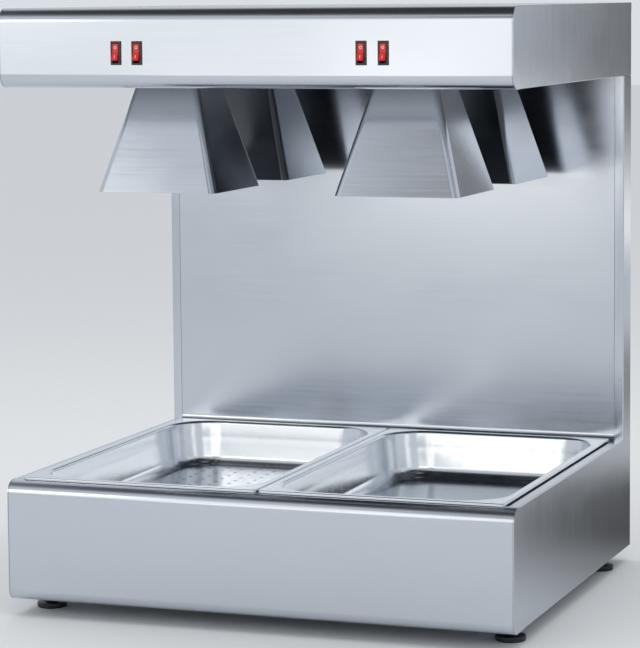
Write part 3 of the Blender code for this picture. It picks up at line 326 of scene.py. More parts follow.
def deselect_all():
    """Leaves edit mode with nothing selected, since an operator acts on all that is selected."""
    if bpy.context.mode != "OBJECT":
        bpy.ops.object.mode_set(mode="OBJECT")
    bpy.ops.object.select_all(action="DESELECT")


def only(piece):
    deselect_all()
    piece.select_set(True)
    bpy.context.view_layer.objects.active = piece


def named(name):
    """Names the object that was just added and keeps its place in its mesh."""
    piece = bpy.context.object
    piece.name = name
    piece.data.name = name
    bpy.ops.object.transform_apply(location=True, rotation=True, scale=True)
    return piece


def add_rectangle(name, centre, size, rotation=(0, 0, 0)):
    """A flat face of the given size, turned to face where it is needed."""
    deselect_all()
    bpy.ops.mesh.primitive_plane_add(size=1, location=centre, rotation=rotation)
    bpy.context.object.scale = (*size, 1)
    return named(name)


def add_block(name, low, high):
    """A box between two corners."""
    low, high = Vector(low), Vector(high)
    deselect_all()
    bpy.ops.mesh.primitive_cube_add(size=1, location=(low + high) / 2)
    bpy.context.object.scale = high - low
    return named(name)


def edit(piece, kind, test):
    """Selects, in edit mode, the vertices, edges or faces of a piece that pass the test."""
    if bpy.context.mode == "OBJECT" or bpy.context.object is not piece:
        only(piece)
        bpy.ops.object.mode_set(mode="EDIT")
    bpy.ops.mesh.select_mode(type=kind)
    bpy.ops.mesh.select_all(action="DESELECT")
    mesh = bmesh.from_edit_mesh(piece.data)
    for item in {"VERT": mesh.verts, "EDGE": mesh.edges, "FACE": mesh.faces}[kind]:
        if test(item):
            item.select_set(True)
    mesh.select_flush_mode()
    bmesh.update_edit_mesh(piece.data)


def every(item):
    return True


def near(first, second):
    return abs(first - second) < NEAR


def keeps(edge, axis):
    """Whether both ends of an edge have the same x, y or z."""
    return near(edge.verts[0].co[axis], edge.verts[1].co[axis])


def lies_at(item, **places):
    """Whether all vertices of an edge or a face are at the given x, y or z."""
    axes = {"x": X, "y": Y, "z": Z}
    return all(
        near(vert.co[axes[name]], value) for name, value in places.items() for vert in item.verts
    )


def at(**places):
    """A test for the edges or faces that lie at the given x, y or z."""
    return lambda item: lies_at(item, **places)


def extrude_edges(move):
    bpy.ops.mesh.extrude_edges_move(TRANSFORM_OT_translate={"value": move})


def extrude_faces(move):
    bpy.ops.mesh.extrude_region_move(TRANSFORM_OT_translate={"value": move})


def round_edges(piece, radius, steps, test):
    """Rounds the edges that pass the test."""
    edit(piece, "EDGE", test)
    bpy.ops.mesh.bevel(offset=radius, segments=steps, affect="EDGES")


def round_corners(radius, steps):
    """Rounds the selected corners of a flat sheet."""
    bpy.ops.mesh.bevel(offset=radius, segments=steps, affect="VERTICES")


def cut_across(piece, axis, value):
    """Cuts a line across the whole piece at one place along an axis."""
    edit(piece, "FACE", every)
    normal = Vector([float(axis == other) for other in (X, Y, Z)])
    bpy.ops.mesh.bisect(plane_co=normal * value, plane_no=normal)


def apply_modifier(piece, kind, **settings):
    only(piece)
    modifier = piece.modifiers.new(kind, kind)
    for name, value in settings.items():
        setattr(modifier, name, value)
    bpy.ops.object.modifier_apply(modifier=modifier.name)


def face_outwards(piece, outward):
    """Turns the faces one way, so that the largest one along a direction faces it."""
    edit(piece, "FACE", every)
    bpy.ops.mesh.normals_make_consistent(inside=False)
    mesh = bmesh.from_edit_mesh(piece.data)
    main_face = max(mesh.faces, key=lambda face: abs(face.normal.dot(outward)) * face.calc_area())
    if main_face.normal.dot(outward) < 0:
        bpy.ops.mesh.flip_normals()
    deselect_all()


def thicken(piece, thickness, outward):
    """Gives an open sheet its thickness behind the face that shows."""
    face_outwards(piece, Vector(outward))
    apply_modifier(piece, "SOLIDIFY", thickness=thickness, offset=-1, use_even_offset=True)


def soften(piece, radius, steps=2):
    """Rounds the sharp edges that are left."""
    apply_modifier(
        piece, "BEVEL", width=radius, segments=steps, limit_method="ANGLE",
        angle_limit=SOFTENED_ANGLE, harden_normals=False, use_clamp_overlap=True,
    )


def discard(*pieces):
    for piece in pieces:
        bpy.data.objects.remove(piece, do_unlink=True)


def cut_out(piece, cutter):
    """Cuts one closed piece out of another and removes it."""
    apply_modifier(piece, "BOOLEAN", operation="DIFFERENCE", solver="EXACT", object=cutter)
    discard(cutter)


def copy_of(piece, name, move, rotation=(0, 0, 0)):
    """A copy with its own mesh, turned and moved to its own place."""
    only(piece)
    bpy.ops.object.duplicate()
    twin = bpy.context.object
    twin.rotation_euler = rotation
    twin.location = move
    return named(name)


def copy_over(node, piece, name):
    """A copy of a piece that was made over the origin, moved level to where a node is."""
    middle = middle_of(node)
    return copy_of(piece, name, (middle.x, middle.y, 0))


def joined(name, pieces):
    """Several pieces joined into one."""
    only(pieces[0])
    for piece in pieces:
        piece.select_set(True)
    bpy.ops.object.join()
    return named(name)


def finish(piece, material, body, slot, *nodes, weighted=True):
    """Smooths and dresses a piece, and puts it on its body in place of the nodes it stands for."""
    only(piece)
    bpy.ops.object.shade_smooth_by_angle(angle=SMOOTH_ANGLE)
    if weighted:
        apply_modifier(piece, "WEIGHTED_NORMAL", keep_sharp=True, weight=60)
    if material:
        paint(piece, material)
    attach(piece, body)
    if nodes:
        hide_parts(*nodes)
    deselect_all()


def paint(piece, material):
    piece.data.materials.clear()
    piece.data.materials.append(material_named(material))


def paint_selected(piece, material):
    """Gives a second material to the faces that are selected in edit mode."""
    piece.data.materials.append(material_named(material))
    piece.active_material_index = len(piece.data.materials) - 1
    bpy.ops.object.material_slot_assign()


def turned(name, profile, steps):
    """A piece turned about Z, ring by ring, from a profile of (radius, height) points off the axis."""
    deselect_all()
    radius, height = profile[0]
    bpy.ops.mesh.primitive_circle_add(
        vertices=steps, radius=radius, location=(0, 0, height), fill_type="NGON"
    )
    piece = named(name)
    edit(piece, "EDGE", every)
    for (before, low), (after, high) in zip(profile, profile[1:]):
        extrude_edges((0, 0, high - low))
        share = after / before
        bpy.ops.transform.resize(value=(share, share, 1), center_override=(0, 0, high))
    bpy.ops.mesh.edge_face_add()
    bpy.ops.mesh.select_all(action="SELECT")
    bpy.ops.mesh.normals_make_consistent(inside=False)
    deselect_all()
    return piece


def middle_of(node):
    low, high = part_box(node)
    return (low + high) / 2


# Materials

METAL = {"Metallic": 1.0}
# Where most of a noise pattern's values lie
MIDDLE_RANGE = {"From Min": 0.3, "From Max": 0.7}


def add_node(material, kind, sockets=None, **settings):
    """Adds a node with its settings, and fills its sockets with values or with other nodes' outputs."""
    tree = material.node_tree
    node = tree.nodes.new(kind)
    for name, value in settings.items():
        setattr(node, name, value)
    for name, source in (sockets or {}).items():
        if isinstance(source, bpy.types.NodeSocket):
            tree.links.new(source, node.inputs[name])
        else:
            node.inputs[name].default_value = source
    return node


def new_material(name, sockets):
    """A material of one Principled shader with the given sockets. Its maker feeds it later."""
    material = bpy.data.materials.new(name)
    material.use_nodes = True
    material.node_tree.nodes.clear()
    shader = add_node(material, "ShaderNodeBsdfPrincipled", sockets)
    shader.name = "Surface"
    add_node(material, "ShaderNodeOutputMaterial", {"Surface": shader.outputs["BSDF"]})
    return material


def feed(material, sockets):
    """Feeds sockets of a material's shader from other nodes' outputs."""
    shader = material.node_tree.nodes["Surface"]
    for name, source in sockets.items():
        material.node_tree.links.new(source, shader.inputs[name])


def pattern(material, size_mm, detail, roughness=0.5):
    """Noise on object coordinates whose features are size_mm long, wide and high."""
    place_socket = add_node(material, "ShaderNodeTexCoord").outputs["Object"]
    scale = [1000 / size for size in size_mm]
    scaled = add_node(material, "ShaderNodeMapping", {"Vector": place_socket, "Scale": scale})
    noise = add_node(
        material, "ShaderNodeTexNoise",
        {"Vector": scaled.outputs["Vector"], "Scale": 1.0, "Detail": detail, "Roughness": roughness},
    )
    return noise.outputs["Fac"]


def shaded(tone, share):
    """A colour made darker or lighter by a share."""
    return (*[min(channel * share, 1) for channel in tone], 1)


def two_tone(material, value, tone, low_share, high_share):
    """The colour between two shares of its brightness, by a pattern."""
    mix = add_node(
        material, "ShaderNodeMix",
        {"Factor": value, "A": shaded(tone, low_share), "B": shaded(tone, high_share)},
        data_type="RGBA",
    )
    return mix.outputs["Result"]


def brushed_steel(name, grain_axis, roughness, wear):
    """Stainless sheet brushed with a belt: fine parallel lines, which blur reflections across them."""
    material = new_material(name, {**METAL, "Anisotropic": 0.55})
    # A belt's scratches are about 0.05 mm apart. They are drawn 2.4 mm apart and finer, so as to show.
    grain = [2.4, 2.4, 2.4]
    grain[grain_axis] = 160
    lines = pattern(material, grain, detail=4, roughness=0.65)
    hand_marks = pattern(material, (110, 110, 70), detail=3)
    base, marks = [
        add_node(material, "ShaderNodeMapRange", {
            "Value": value, **MIDDLE_RANGE, "To Min": low, "To Max": high,
        }).outputs["Result"]
        for value, low, high in ((lines, roughness - 0.02, roughness + 0.02), (hand_marks, -wear, wear))
    ]
    rough = add_node(material, "ShaderNodeMath", {0: base, 1: marks}, operation="ADD")
    across = Z if grain_axis == X else Y
    tangent = add_node(material, "ShaderNodeCombineXYZ", {"XYZ"[across]: 1.0})
    bump = add_node(material, "ShaderNodeBump", {
        "Height": lines, "Strength": 0.08, "Distance": 0.00004,
    })
    tone = bpy.context.scene.chip_warmer_finish.steel
    feed(material, {
        "Base Color": two_tone(material, lines, tone, 0.965, 1.035),
        "Roughness": rough.outputs["Value"],
        "Normal": bump.outputs["Normal"],
        "Tangent": tangent.outputs["Vector"],
    })
    return material


def shade_darkened_steel(name, lit_front, shaded_from, shade_share):
    """Stainless sheet with painted shade: dark grey all over, but lighter along its front edge, where
    light reaches in under the canopy.
    """
    material = new_material(name, METAL)
    place_socket = add_node(material, "ShaderNodeTexCoord").outputs["Object"]
    depth = add_node(material, "ShaderNodeSeparateXYZ", {"Vector": place_socket}).outputs["Y"]
    # Painted shade: full tone at the lit front, falling to the shade share further in under the canopy
    lit_share = add_node(material, "ShaderNodeMapRange", {
        "Value": depth, "From Min": lit_front, "From Max": shaded_from, "To Min": 1.0, "To Max": 0.0,
    })
    clouds = pattern(material, (25, 25, 25), detail=4)
    rough = add_node(material, "ShaderNodeMapRange", {
        "Value": clouds, **MIDDLE_RANGE, "To Min": 0.28, "To Max": 0.36,
    })
    tone = bpy.context.scene.chip_warmer_finish.mill_steel
    feed(material, {
        "Base Color": two_tone(material, lit_share.outputs["Result"], tone, shade_share, 1.0),
        "Roughness": rough.outputs["Result"],
    })
    return material


def mottled(name, colour_name, sockets, texture, shares, roughness, relief=None):
    """A material whose tone and roughness vary with a pattern, and that relief makes uneven."""
    material = new_material(name, sockets)
    spots = pattern(material, *texture)
    tone = getattr(bpy.context.scene.chip_warmer_finish, colour_name)
    rough = add_node(material, "ShaderNodeMapRange", {
        "Value": spots, **MIDDLE_RANGE, "To Min": roughness[0], "To Max": roughness[1],
    })
    feed(material, {
        "Base Color": two_tone(material, spots, tone, *shares),
        "Roughness": rough.outputs["Result"],
    })
    if relief:
        size_mm, strength, height = relief
        waves = pattern(material, size_mm, detail=2)
        bump = add_node(material, "ShaderNodeBump", {
            "Height": waves, "Strength": strength, "Distance": height,
        })
        feed(material, {"Normal": bump.outputs["Normal"]})
    return material


def moulded(colour_name, roughness, grit_mm=0.6, height=0.00002):
    """How a moulding is made: one even colour, with the fine eroded texture of its tool."""
    grit = (grit_mm,) * 3
    return (
        mottled, colour_name, {"IOR": 1.5}, (grit, 2), (0.92, 1.06),
        (roughness - 0.04, roughness + 0.04), (grit, 0.3, height),
    )


PRESSING_HAZE = ((9, 9, 9), 4, 0.6)
PRESSING_WAVES = ((38, 38, 38), 0.5, 0.00012)

# How each finish is made, and from what. A brushed one takes the axis of its grain, its roughness and
# its wear. The one with painted shade takes the y up to which it is lit, the y from where it is fully
# shaded, and how dark its painted shade is. The others take their colour, sockets, pattern (sizes in
# mm, detail, roughness), shares of the colour, range of roughness, and relief (sizes in mm, strength,
# height in metres).
FINISHES = {
    # Belt-brushed stainless sheet, its grain along the warmer's width or upright
    "brushed_stainless_lengthways": (brushed_steel, X, 0.19, 0.02),
    "brushed_stainless_upright": (brushed_steel, Z, 0.19, 0.02),
    "brushed_stainless_shades": (brushed_steel, X, 0.15, 0.04),
    # Stainless sheet above the lamps: dull, with painted shade that makes it dark grey but for its
    # front edge
    "heat_darkened_stainless": (shade_darkened_steel, -0.235, -0.150, 0.20),
    # Cold-rolled stainless as it leaves the mill: even, dull and a little darker than brushed sheet
    "mill_finish_stainless": (
        mottled, "mill_steel", METAL, ((25, 25, 25), 4), (0.92, 1.04), (0.30, 0.40)
    ),
    # Polished stainless that was deep drawn: near mirror, with the faint waves that pressing leaves
    "polished_stainless_pressing": (
        mottled, "pan_steel", METAL, PRESSING_HAZE, (0.97, 1.03), (0.135, 0.205), PRESSING_WAVES
    ),
    "polished_stainless_plate": (
        mottled, "pan_steel", METAL, PRESSING_HAZE, (0.97, 1.03), (0.11, 0.18), PRESSING_WAVES
    ),
    # Zinc-plated steel: a dull metal with cloudy crystals a few millimetres wide
    "zinc_plated_steel": (
        mottled, "zinc", METAL, ((4, 4, 4), 5, 0.7), (0.85, 1.08), (0.32, 0.50)
    ),
    # Brass sheet rolled into a thread: warm, bright, lightly tarnished in patches
    "rolled_brass": (
        mottled, "brass", METAL, ((6, 6, 6), 4), (0.80, 1.04), (0.22, 0.38)
    ),
    # Glass with a vacuum-laid mirror inside: a bright reflector under a smooth skin
    "silvered_lamp_glass": (
        mottled, "silvering", {**METAL, "Coat Weight": 0.5, "Coat Roughness": 0.03},
        ((18, 18, 30), 2), (0.95, 1.02), (0.08, 0.14), ((18, 18, 30), 0.3, 0.0003)
    ),
    # Pressed glass frosted on the inside: milky white under a smooth outer skin
    "frosted_lamp_glass": (
        mottled, "glass", {"IOR": 1.5, "Coat Weight": 0.8, "Coat Roughness": 0.05},
        ((1.5, 1.5, 1.5), 3), (0.88, 1.00), (0.30, 0.45)
    ),
    # Glazed porcelain: a smooth glossy skin over a body with slight clouding
    "glazed_porcelain": (
        mottled, "porcelain", {"IOR": 1.5, "Coat Weight": 0.6, "Coat Roughness": 0.08},
        ((7, 7, 7), 3), (0.94, 1.02), (0.18, 0.28)
    ),
    "black_polyamide_moulding": moulded("black", 0.35),
    "red_polycarbonate_moulding": moulded("red", 0.22, 1.2, 0.000005),
    "black_polyethylene_foot": moulded("foot", 0.42, 0.8),
    # Ink from a printing pad: a dull film that follows the moulding under it
    "pad_printed_ink": moulded("mark", 0.4),
    # Extruded silicone: dull and even, with a slight orange-peel skin
    "silicone_sheath": moulded("sheath", 0.5, 1.5),
    # Painted board: one matt tone with a slight mottle
    "painted_board": (
        mottled, "floor", {}, ((60, 60, 60), 4), (0.99, 1.01), (0.9, 0.9)
    ),
}


def material_named(name):
    """The finish of that name, made the first time that it is asked for."""
    maker, *details = FINISHES[name]
    return bpy.data.materials.get(name) or maker(name, *details)


# Cabinet

def folded_sheet(name, low_x, high_x, corners):
    """An open sheet along X that folds through (y, z, radius) corners."""
    first, second = [Vector((0, *corner[:2])) for corner in corners[:2]]
    leg = second - first
    middle = (first + second) / 2
    middle.x = (low_x + high_x) / 2
    size = (high_x - low_x, leg.length)
    piece = add_rectangle(name, middle, size, (math.atan2(leg.z, leg.y), 0, 0))
    for before, after in zip(corners[1:], corners[2:]):
        edit(piece, "EDGE", at(y=before[0], z=before[1]))
        extrude_edges((0, after[0] - before[0], after[1] - before[1]))
    for y, z, radius in corners[1:-1]:
        round_edges(piece, radius, ROLL_STEPS, at(y=y, z=z))
    return piece


def upright_sheet(name, x, y_range, z_range):
    """A flat rectangle across X, from one y and z to another."""
    middle = (x, sum(y_range) / 2, sum(z_range) / 2)
    size = (z_range[1] - z_range[0], y_range[1] - y_range[0])
    return add_rectangle(name, middle, size, (0, math.pi / 2, 0))


class CHIPWARMER_OT_base_front(bpy.types.Operator):
    """Model the base's front skin, rolled over at its top and bottom"""
    bl_idname = "chip_warmer.base_front"
    bl_label = "Base Front"
    bl_options = {"REGISTER", "UNDO"}

    def execute(self, context):
        sizes = context.scene.chip_warmer_cabinet
        low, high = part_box("base_front")
        lip = low.y + sizes.front_lip
        piece = folded_sheet("base_front_skin", low.x, high.x, [
            (high.y, low.z, 0),
            (low.y, low.z, sizes.base_bottom_radius),
            (low.y, high.z, sizes.base_top_radius),
            (lip, high.z, sizes.fold),
            (lip, high.z - sizes.flange, 0),
        ])
        thicken(piece, sizes.sheet, (0, -1, 0))
        soften(piece, sizes.edge)
        finish(piece, "brushed_stainless_lengthways", "cabinet", "panel_steel", "base_front")
        return {"FINISHED"}


def add_flanges(piece, side, sizes, starts_at):
    """Turns a sheet's edges inwards from the y that starts_at gives for each, and rounds the folds."""
    outer = side * max(abs(vert.co.x) for vert in piece.data.vertices)
    edit(piece, "EDGE", lambda edge: (
        edge.is_boundary and min(vert.co.y for vert in edge.verts) > starts_at(edge) - NEAR
    ))
    extrude_edges((-side * sizes.flange, 0, 0))
    round_edges(piece, sizes.fold, FOLD_STEPS, lambda edge: (
        lies_at(edge, x=outer) and any(abs(face.normal.x) < 1 / 2 for face in edge.link_faces)
    ))
    thicken(piece, sizes.sheet, (side, 0, 0))
    soften(piece, sizes.edge)


class CHIPWARMER_OT_side_panels(bpy.types.Operator):
    """Model the two L-shaped side sheets with their inward flanges"""
    bl_idname = "chip_warmer.side_panels"
    bl_label = "Side Panels"
    bl_options = {"REGISTER", "UNDO"}

    def execute(self, context):
        sizes = context.scene.chip_warmer_cabinet
        base_low, base_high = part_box("base_front")
        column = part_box("back_panel")[1].y - sizes.sheet
        for side_name, side in SIDES.items():
            node = "side_panel_" + side_name
            low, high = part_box(node)
            outer = high.x if side > 0 else low.x
            piece = upright_sheet(node + "_sheet", outer, (low.y, column), (low.z, base_high.z))
            edit(piece, "EDGE", at(y=column))
            extrude_edges((0, high.y - column, 0))
            edit(piece, "EDGE", lambda edge: (
                lies_at(edge, z=base_high.z) and all(vert.co.y > column - NEAR for vert in edge.verts)
            ))
            extrude_edges((0, 0, high.z - base_high.z))
            for z, radius in ((base_high.z, sizes.base_top_radius), (low.z, sizes.base_bottom_radius)):
                edit(piece, "VERT", lambda vert: near(vert.co.y, low.y) and near(vert.co.z, z))
                round_corners(radius, CORNER_STEPS)
            bottom_start = base_high.y + sizes.seat_gap
            top_start = low.y + sizes.front_lip + sizes.seat_gap
            for start in (bottom_start, top_start):
                cut_across(piece, Y, start)
            add_flanges(
                piece, side, sizes, lambda edge: bottom_start if lies_at(edge, z=low.z) else top_start
            )
            finish(piece, "brushed_stainless_upright", "cabinet", "panel_steel", node)
        return {"FINISHED"}


class CHIPWARMER_OT_back_panel(bpy.types.Operator):
    """Model the splash panel with the cove at its foot"""
    bl_idname = "chip_warmer.back_panel"
    bl_label = "Back Panel"
    bl_options = {"REGISTER", "UNDO"}

    def execute(self, context):
        sizes = context.scene.chip_warmer_cabinet
        low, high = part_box("back_panel")
        face = high.y - sizes.sheet
        piece = folded_sheet("splash_panel", low.x, high.x, [
            (low.y, low.z, 0),
            (face, low.z, sizes.cove_radius),
            (face, high.z, 0),
        ])
        thicken(piece, sizes.sheet, (0, -1, 0))
        soften(piece, sizes.edge)
        finish(piece, "brushed_stainless_lengthways", "cabinet", "panel_steel", "back_panel")
        return {"FINISHED"}


class CHIPWARMER_OT_canopy(bpy.types.Operator):
    """Model the canopy's rolled front and top with the switches' cut-outs, and its two flanged ends"""
    bl_idname = "chip_warmer.canopy"
    bl_label = "Canopy"
    bl_options = {"REGISTER", "UNDO"}

    def execute(self, context):
        sizes = context.scene.chip_warmer_cabinet
        low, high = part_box("canopy_shell")
        shell = folded_sheet("canopy_skin", low.x, high.x, [
            (low.y + sizes.canopy_lip, low.z, 0),
            (low.y, low.z, sizes.canopy_radius),
            (low.y, high.z, sizes.canopy_radius),
            (high.y, high.z, sizes.fold),
            (high.y, high.z - sizes.canopy_rear_drop, 0),
        ])
        thicken(shell, sizes.sheet, (0, -1, 0))
        for switch in SWITCHES:
            switch_low, switch_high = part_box("switch_body_" + switch)
            overlap = context.scene.chip_warmer_switches.bezel_overlap
            inset = Vector((1, 0, 1)) * (overlap - sizes.socket_clearance)
            cutter = add_block("switch_cutter", switch_low + inset, switch_high - inset)
            cut_out(shell, cutter)
        soften(shell, sizes.edge)
        finish(shell, "brushed_stainless_lengthways", "cabinet", "panel_steel", "canopy_shell")
        for side_name, side in SIDES.items():
            node = "canopy_end_" + side_name
            end_low, end_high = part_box(node)
            outer = end_high.x if side > 0 else end_low.x
            end = upright_sheet(
                node + "_sheet", outer, (end_low.y, end_high.y), (end_low.z, end_high.z)
            )
            edit(end, "VERT", lambda vert: near(vert.co.y, end_low.y))
            round_corners(sizes.canopy_radius, CORNER_STEPS)
            bottom_start = end_low.y + sizes.canopy_lip + sizes.seat_gap
            rear_top = end_high.z - sizes.canopy_rear_drop - sizes.seat_gap
            cut_across(end, Y, bottom_start)
            cut_across(end, Z, rear_top)

            def starts_at(edge):
                below = max(vert.co.z for vert in edge.verts) < rear_top + NEAR
                return bottom_start if below else high.y * 2

            add_flanges(end, side, sizes, starts_at)
            finish(end, "brushed_stainless_upright", "cabinet", "panel_steel", node)
        return {"FINISHED"}


class CHIPWARMER_OT_rear_sheets(bpy.types.Operator):
    """Model the three flat rear sheets, the lowest with the inlet's cut-out"""
    bl_idname = "chip_warmer.rear_sheets"
    bl_label = "Rear Sheets"
    bl_options = {"REGISTER", "UNDO"}

    def execute(self, context):
        sizes = context.scene.chip_warmer_cabinet
        for node in ("base_rear_panel", "column_rear_cover", "canopy_rear_panel"):
            low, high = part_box(node)
            piece = add_block(node + "_sheet", low, high)
            round_edges(piece, sizes.rear_corner, SMALL_CORNER_STEPS, lambda edge: (
                keeps(edge, X) and keeps(edge, Z)
            ))
            deselect_all()
            if node == "base_rear_panel":
                centre = middle_of("mains_inlet")
                fittings = context.scene.chip_warmer_fittings
                gap = Vector((1, 0, 1)) * sizes.socket_clearance
                size = Vector((fittings.inlet_width, INLET_CUTTER_DEPTH, fittings.inlet_height))
                half = size / 2 + gap
                centre.y = low.y
                cut_out(piece, add_block("inlet_cutter", centre - half, centre + half))
            soften(piece, sizes.edge)
            finish(piece, "brushed_stainless_lengthways", "cabinet", "panel_steel", node)
        return {"FINISHED"}


# Pans

def add_rounded_plane(half_x, half_y, height, corner, border):
    """In edit mode, a flat rounded rectangle with a border of its own width round it, left selected."""
    bpy.ops.mesh.primitive_plane_add(size=1, location=(0, 0, height))
    bpy.ops.transform.resize(value=(2 * half_x, 2 * half_y, 1), center_override=(0, 0, height))
    round_corners(corner, PAN_CORNER_STEPS)
    bpy.ops.mesh.select_mode(type="FACE")
    bpy.ops.mesh.inset(thickness=border)


def sink_face(stages, top, half_x, half_y):
    """Sinks the selected face through (depth, inset) stages below the rim."""
    depth = inset = 0
    for next_depth, next_inset in stages:
        extrude_faces((0, 0, depth - next_depth))
        share_x = (half_x - next_inset) / (half_x - inset)
        share_y = (half_y - next_inset) / (half_y - inset)
        centre = (0, 0, top - next_depth)
        bpy.ops.transform.resize(value=(share_x, share_y, 1), center_override=centre)
        depth, inset = next_depth, next_inset


def folds_at(height):
    """Picks the edges at a height where a flat face meets one that leaves that height."""
    return lambda edge: (
        lies_at(edge, z=height) and len({lies_at(face, z=height) for face in edge.link_faces}) == 2
    )


def pan_at_origin(sizes, low, high):
    """A pan with its middle over the origin: turned-down rim, walls with a stacking step, and floor."""
    half_x = (high.x - low.x) / 2
    half_y = (high.y - low.y) / 2
    top = high.z
    deselect_all()
    bpy.ops.mesh.primitive_plane_add(size=1)
    piece = named("pan")
    edit(piece, "FACE", every)
    bpy.ops.mesh.delete(type="VERT")
    add_rounded_plane(half_x, half_y, top, sizes.rim_corner, 2 * sizes.rim_edge)
    bpy.ops.mesh.delete(type="ONLY_FACE")
    inner_x = half_x - 2 * sizes.rim_edge + NEAR
    inner_y = half_y - 2 * sizes.rim_edge + NEAR
    edit(piece, "EDGE", lambda edge: edge.is_boundary and all(
        abs(vert.co.x) > inner_x or abs(vert.co.y) > inner_y for vert in edge.verts
    ))
    extrude_edges((0, 0, -sizes.rim_drop))
    round_edges(piece, sizes.rim_edge, FINE_FOLD_STEPS, folds_at(top))

    open_x = half_x - sizes.rim
    open_y = half_y - sizes.rim
    border = OPENING_BORDER * sizes.shoulder
    edit(piece, "FACE", lambda face: False)
    add_rounded_plane(open_x + border, open_y + border, top, sizes.opening_corner + border, border)
    floor = top - low.z - sizes.sheet
    step_foot = sizes.step_depth + sizes.step_height
    upper_inset = (sizes.wall_lean - sizes.step_width) * sizes.step_depth / floor
    stages = (
        (sizes.step_depth, upper_inset),
        (step_foot, upper_inset + sizes.step_width),
        (floor, sizes.wall_lean),
    )
    sink_face(stages, top, open_x, open_y)
    for depth, radius, steps in (
        (floor, sizes.floor_radius, PAN_FLOOR_STEPS),
        (step_foot, sizes.step_radius, FOLD_STEPS),
        (sizes.step_depth, sizes.step_radius, FOLD_STEPS),
    ):
        round_edges(piece, radius, steps, at(z=top - depth))
    round_edges(piece, sizes.shoulder, PAN_SHOULDER_STEPS, lambda edge: folds_at(top)(edge) and all(
        abs(vert.co.x) < open_x + NEAR and abs(vert.co.y) < open_y + NEAR for vert in edge.verts
    ))
    edit(piece, "EDGE", lambda edge: lies_at(edge, z=top) and edge.is_boundary)
    bpy.ops.mesh.bridge_edge_loops()
    thicken(piece, sizes.sheet, (0, 0, 1))
    soften(piece, sizes.sheet / 5)
    return piece


class CHIPWARMER_OT_pans(bpy.types.Operator):
    """Model the two pressed pans"""
    bl_idname = "chip_warmer.pans"
    bl_label = "Pans"
    bl_options = {"REGISTER", "UNDO"}

    def execute(self, context):
        sizes = context.scene.chip_warmer_pans
        low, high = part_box("pan_left")
        first = pan_at_origin(sizes, low, high)
        for node in ("pan_left", "pan_right"):
            pan = copy_over(node, first, node + "_pressing")
            finish(pan, "polished_stainless_pressing", node, "pan_steel", node, weighted=False)
        discard(first)
        return {"FINISHED"}


class CHIPWARMER_OT_drainer(bpy.types.Operator):
    """Model the drainer plate with its staggered holes"""
    bl_idname = "chip_warmer.drainer"
    bl_label = "Drainer Plate"
    bl_options = {"REGISTER", "UNDO"}

    def execute(self, context):
        sizes = context.scene.chip_warmer_pans
        low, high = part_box("drainer_plate")
        centre = (low + high) / 2
        half = (high - low) / 2
        piece = add_rectangle("drainer_tray", (centre.x, centre.y, high.z), (2 * half.x, 2 * half.y))
        edit(piece, "VERT", every)
        round_corners(sizes.drainer_corner, CORNER_STEPS)
        edit(piece, "EDGE", every)
        extrude_edges((0, 0, low.z - high.z))
        round_edges(piece, sizes.rim_edge, FOLD_STEPS, at(z=high.z))
        thicken(piece, sizes.sheet, (0, 0, 1))
        cut_out(piece, self.hole_cutter(sizes, centre, half, high.z))
        finish(piece, "polished_stainless_plate", "drainer", "pan_steel", "drainer_plate")
        return {"FINISHED"}

    def hole_cutter(self, sizes, centre, half, z):
        """All the holes as one cutter: a square grid with every other column moved by half a pitch."""
        pitch = sizes.hole_pitch
        reach_x = half.x - sizes.hole_margin
        reach_y = half.y - sizes.hole_margin
        columns = int(reach_x / pitch + 1)
        rows = int(reach_y / pitch + 1)
        cutter = None
        for column in range(-columns, columns):
            x = (column + 1 / 2) * pitch
            for row in range(-rows, rows + 1):
                y = (row + (HOLE_STAGGER if column % 2 else -HOLE_STAGGER)) * pitch
                if abs(x) > reach_x or abs(y) > reach_y:
                    continue
                bpy.ops.mesh.primitive_cylinder_add(
                    vertices=HOLE_SIDES, radius=sizes.hole / 2, depth=DRAIN_CUTTER_DEPTH,
                    location=(centre.x + x, centre.y + y, z),
                )
                if cutter is None:
                    cutter = named("hole_cutter")
                    bpy.ops.object.mode_set(mode="EDIT")
        deselect_all()
        return cutter


# Lamps

def shade_at_origin(cabinet, sizes, low, high):
    """A folded shade over the origin: a frustum with soft corners, open below, with the lamp's hole."""
    deselect_all()
    bpy.ops.mesh.primitive_cone_add(
        vertices=4, radius1=sizes.shade_bottom / math.sqrt(2), radius2=sizes.shade_top / math.sqrt(2),
        depth=high.z - low.z, location=(0, 0, (low.z + high.z) / 2), rotation=(0, 0, math.pi / 4),
    )
    piece = named("shade")
    edit(piece, "FACE", at(z=low.z))
    bpy.ops.mesh.delete(type="FACE")
    round_edges(piece, sizes.shade_corner, SHADE_CORNER_STEPS, lambda edge: not keeps(edge, Z))
    round_edges(piece, sizes.shade_fold, FINE_FOLD_STEPS, at(z=high.z))
    thicken(piece, cabinet.sheet, (0, 0, 1))
    bpy.ops.mesh.primitive_cylinder_add(
        vertices=ROUND_SIDES, radius=sizes.lamp_hole, depth=LAMP_HOLE_CUTTER_DEPTH,
        location=(0, 0, high.z),
    )
    cut_out(piece, named("lamp_hole_cutter"))
    soften(piece, cabinet.edge)
    return piece


class CHIPWARMER_OT_shades(bpy.types.Operator):
    """Model the four folded lamp shades"""
    bl_idname = "chip_warmer.shades"
    bl_label = "Lamp Shades"
    bl_options = {"REGISTER", "UNDO"}

    def execute(self, context):
        scene = context.scene
        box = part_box("lamp_shade_front_left")
        first = shade_at_origin(scene.chip_warmer_cabinet, scene.chip_warmer_lamps, *box)
        for corner in CORNERS:
            node = "lamp_shade_" + corner
            shade = copy_over(node, first, "folded_shade_" + corner)
            finish(shade, "brushed_stainless_shades", "cabinet", "panel_steel", node)
        discard(first)
        return {"FINISHED"}


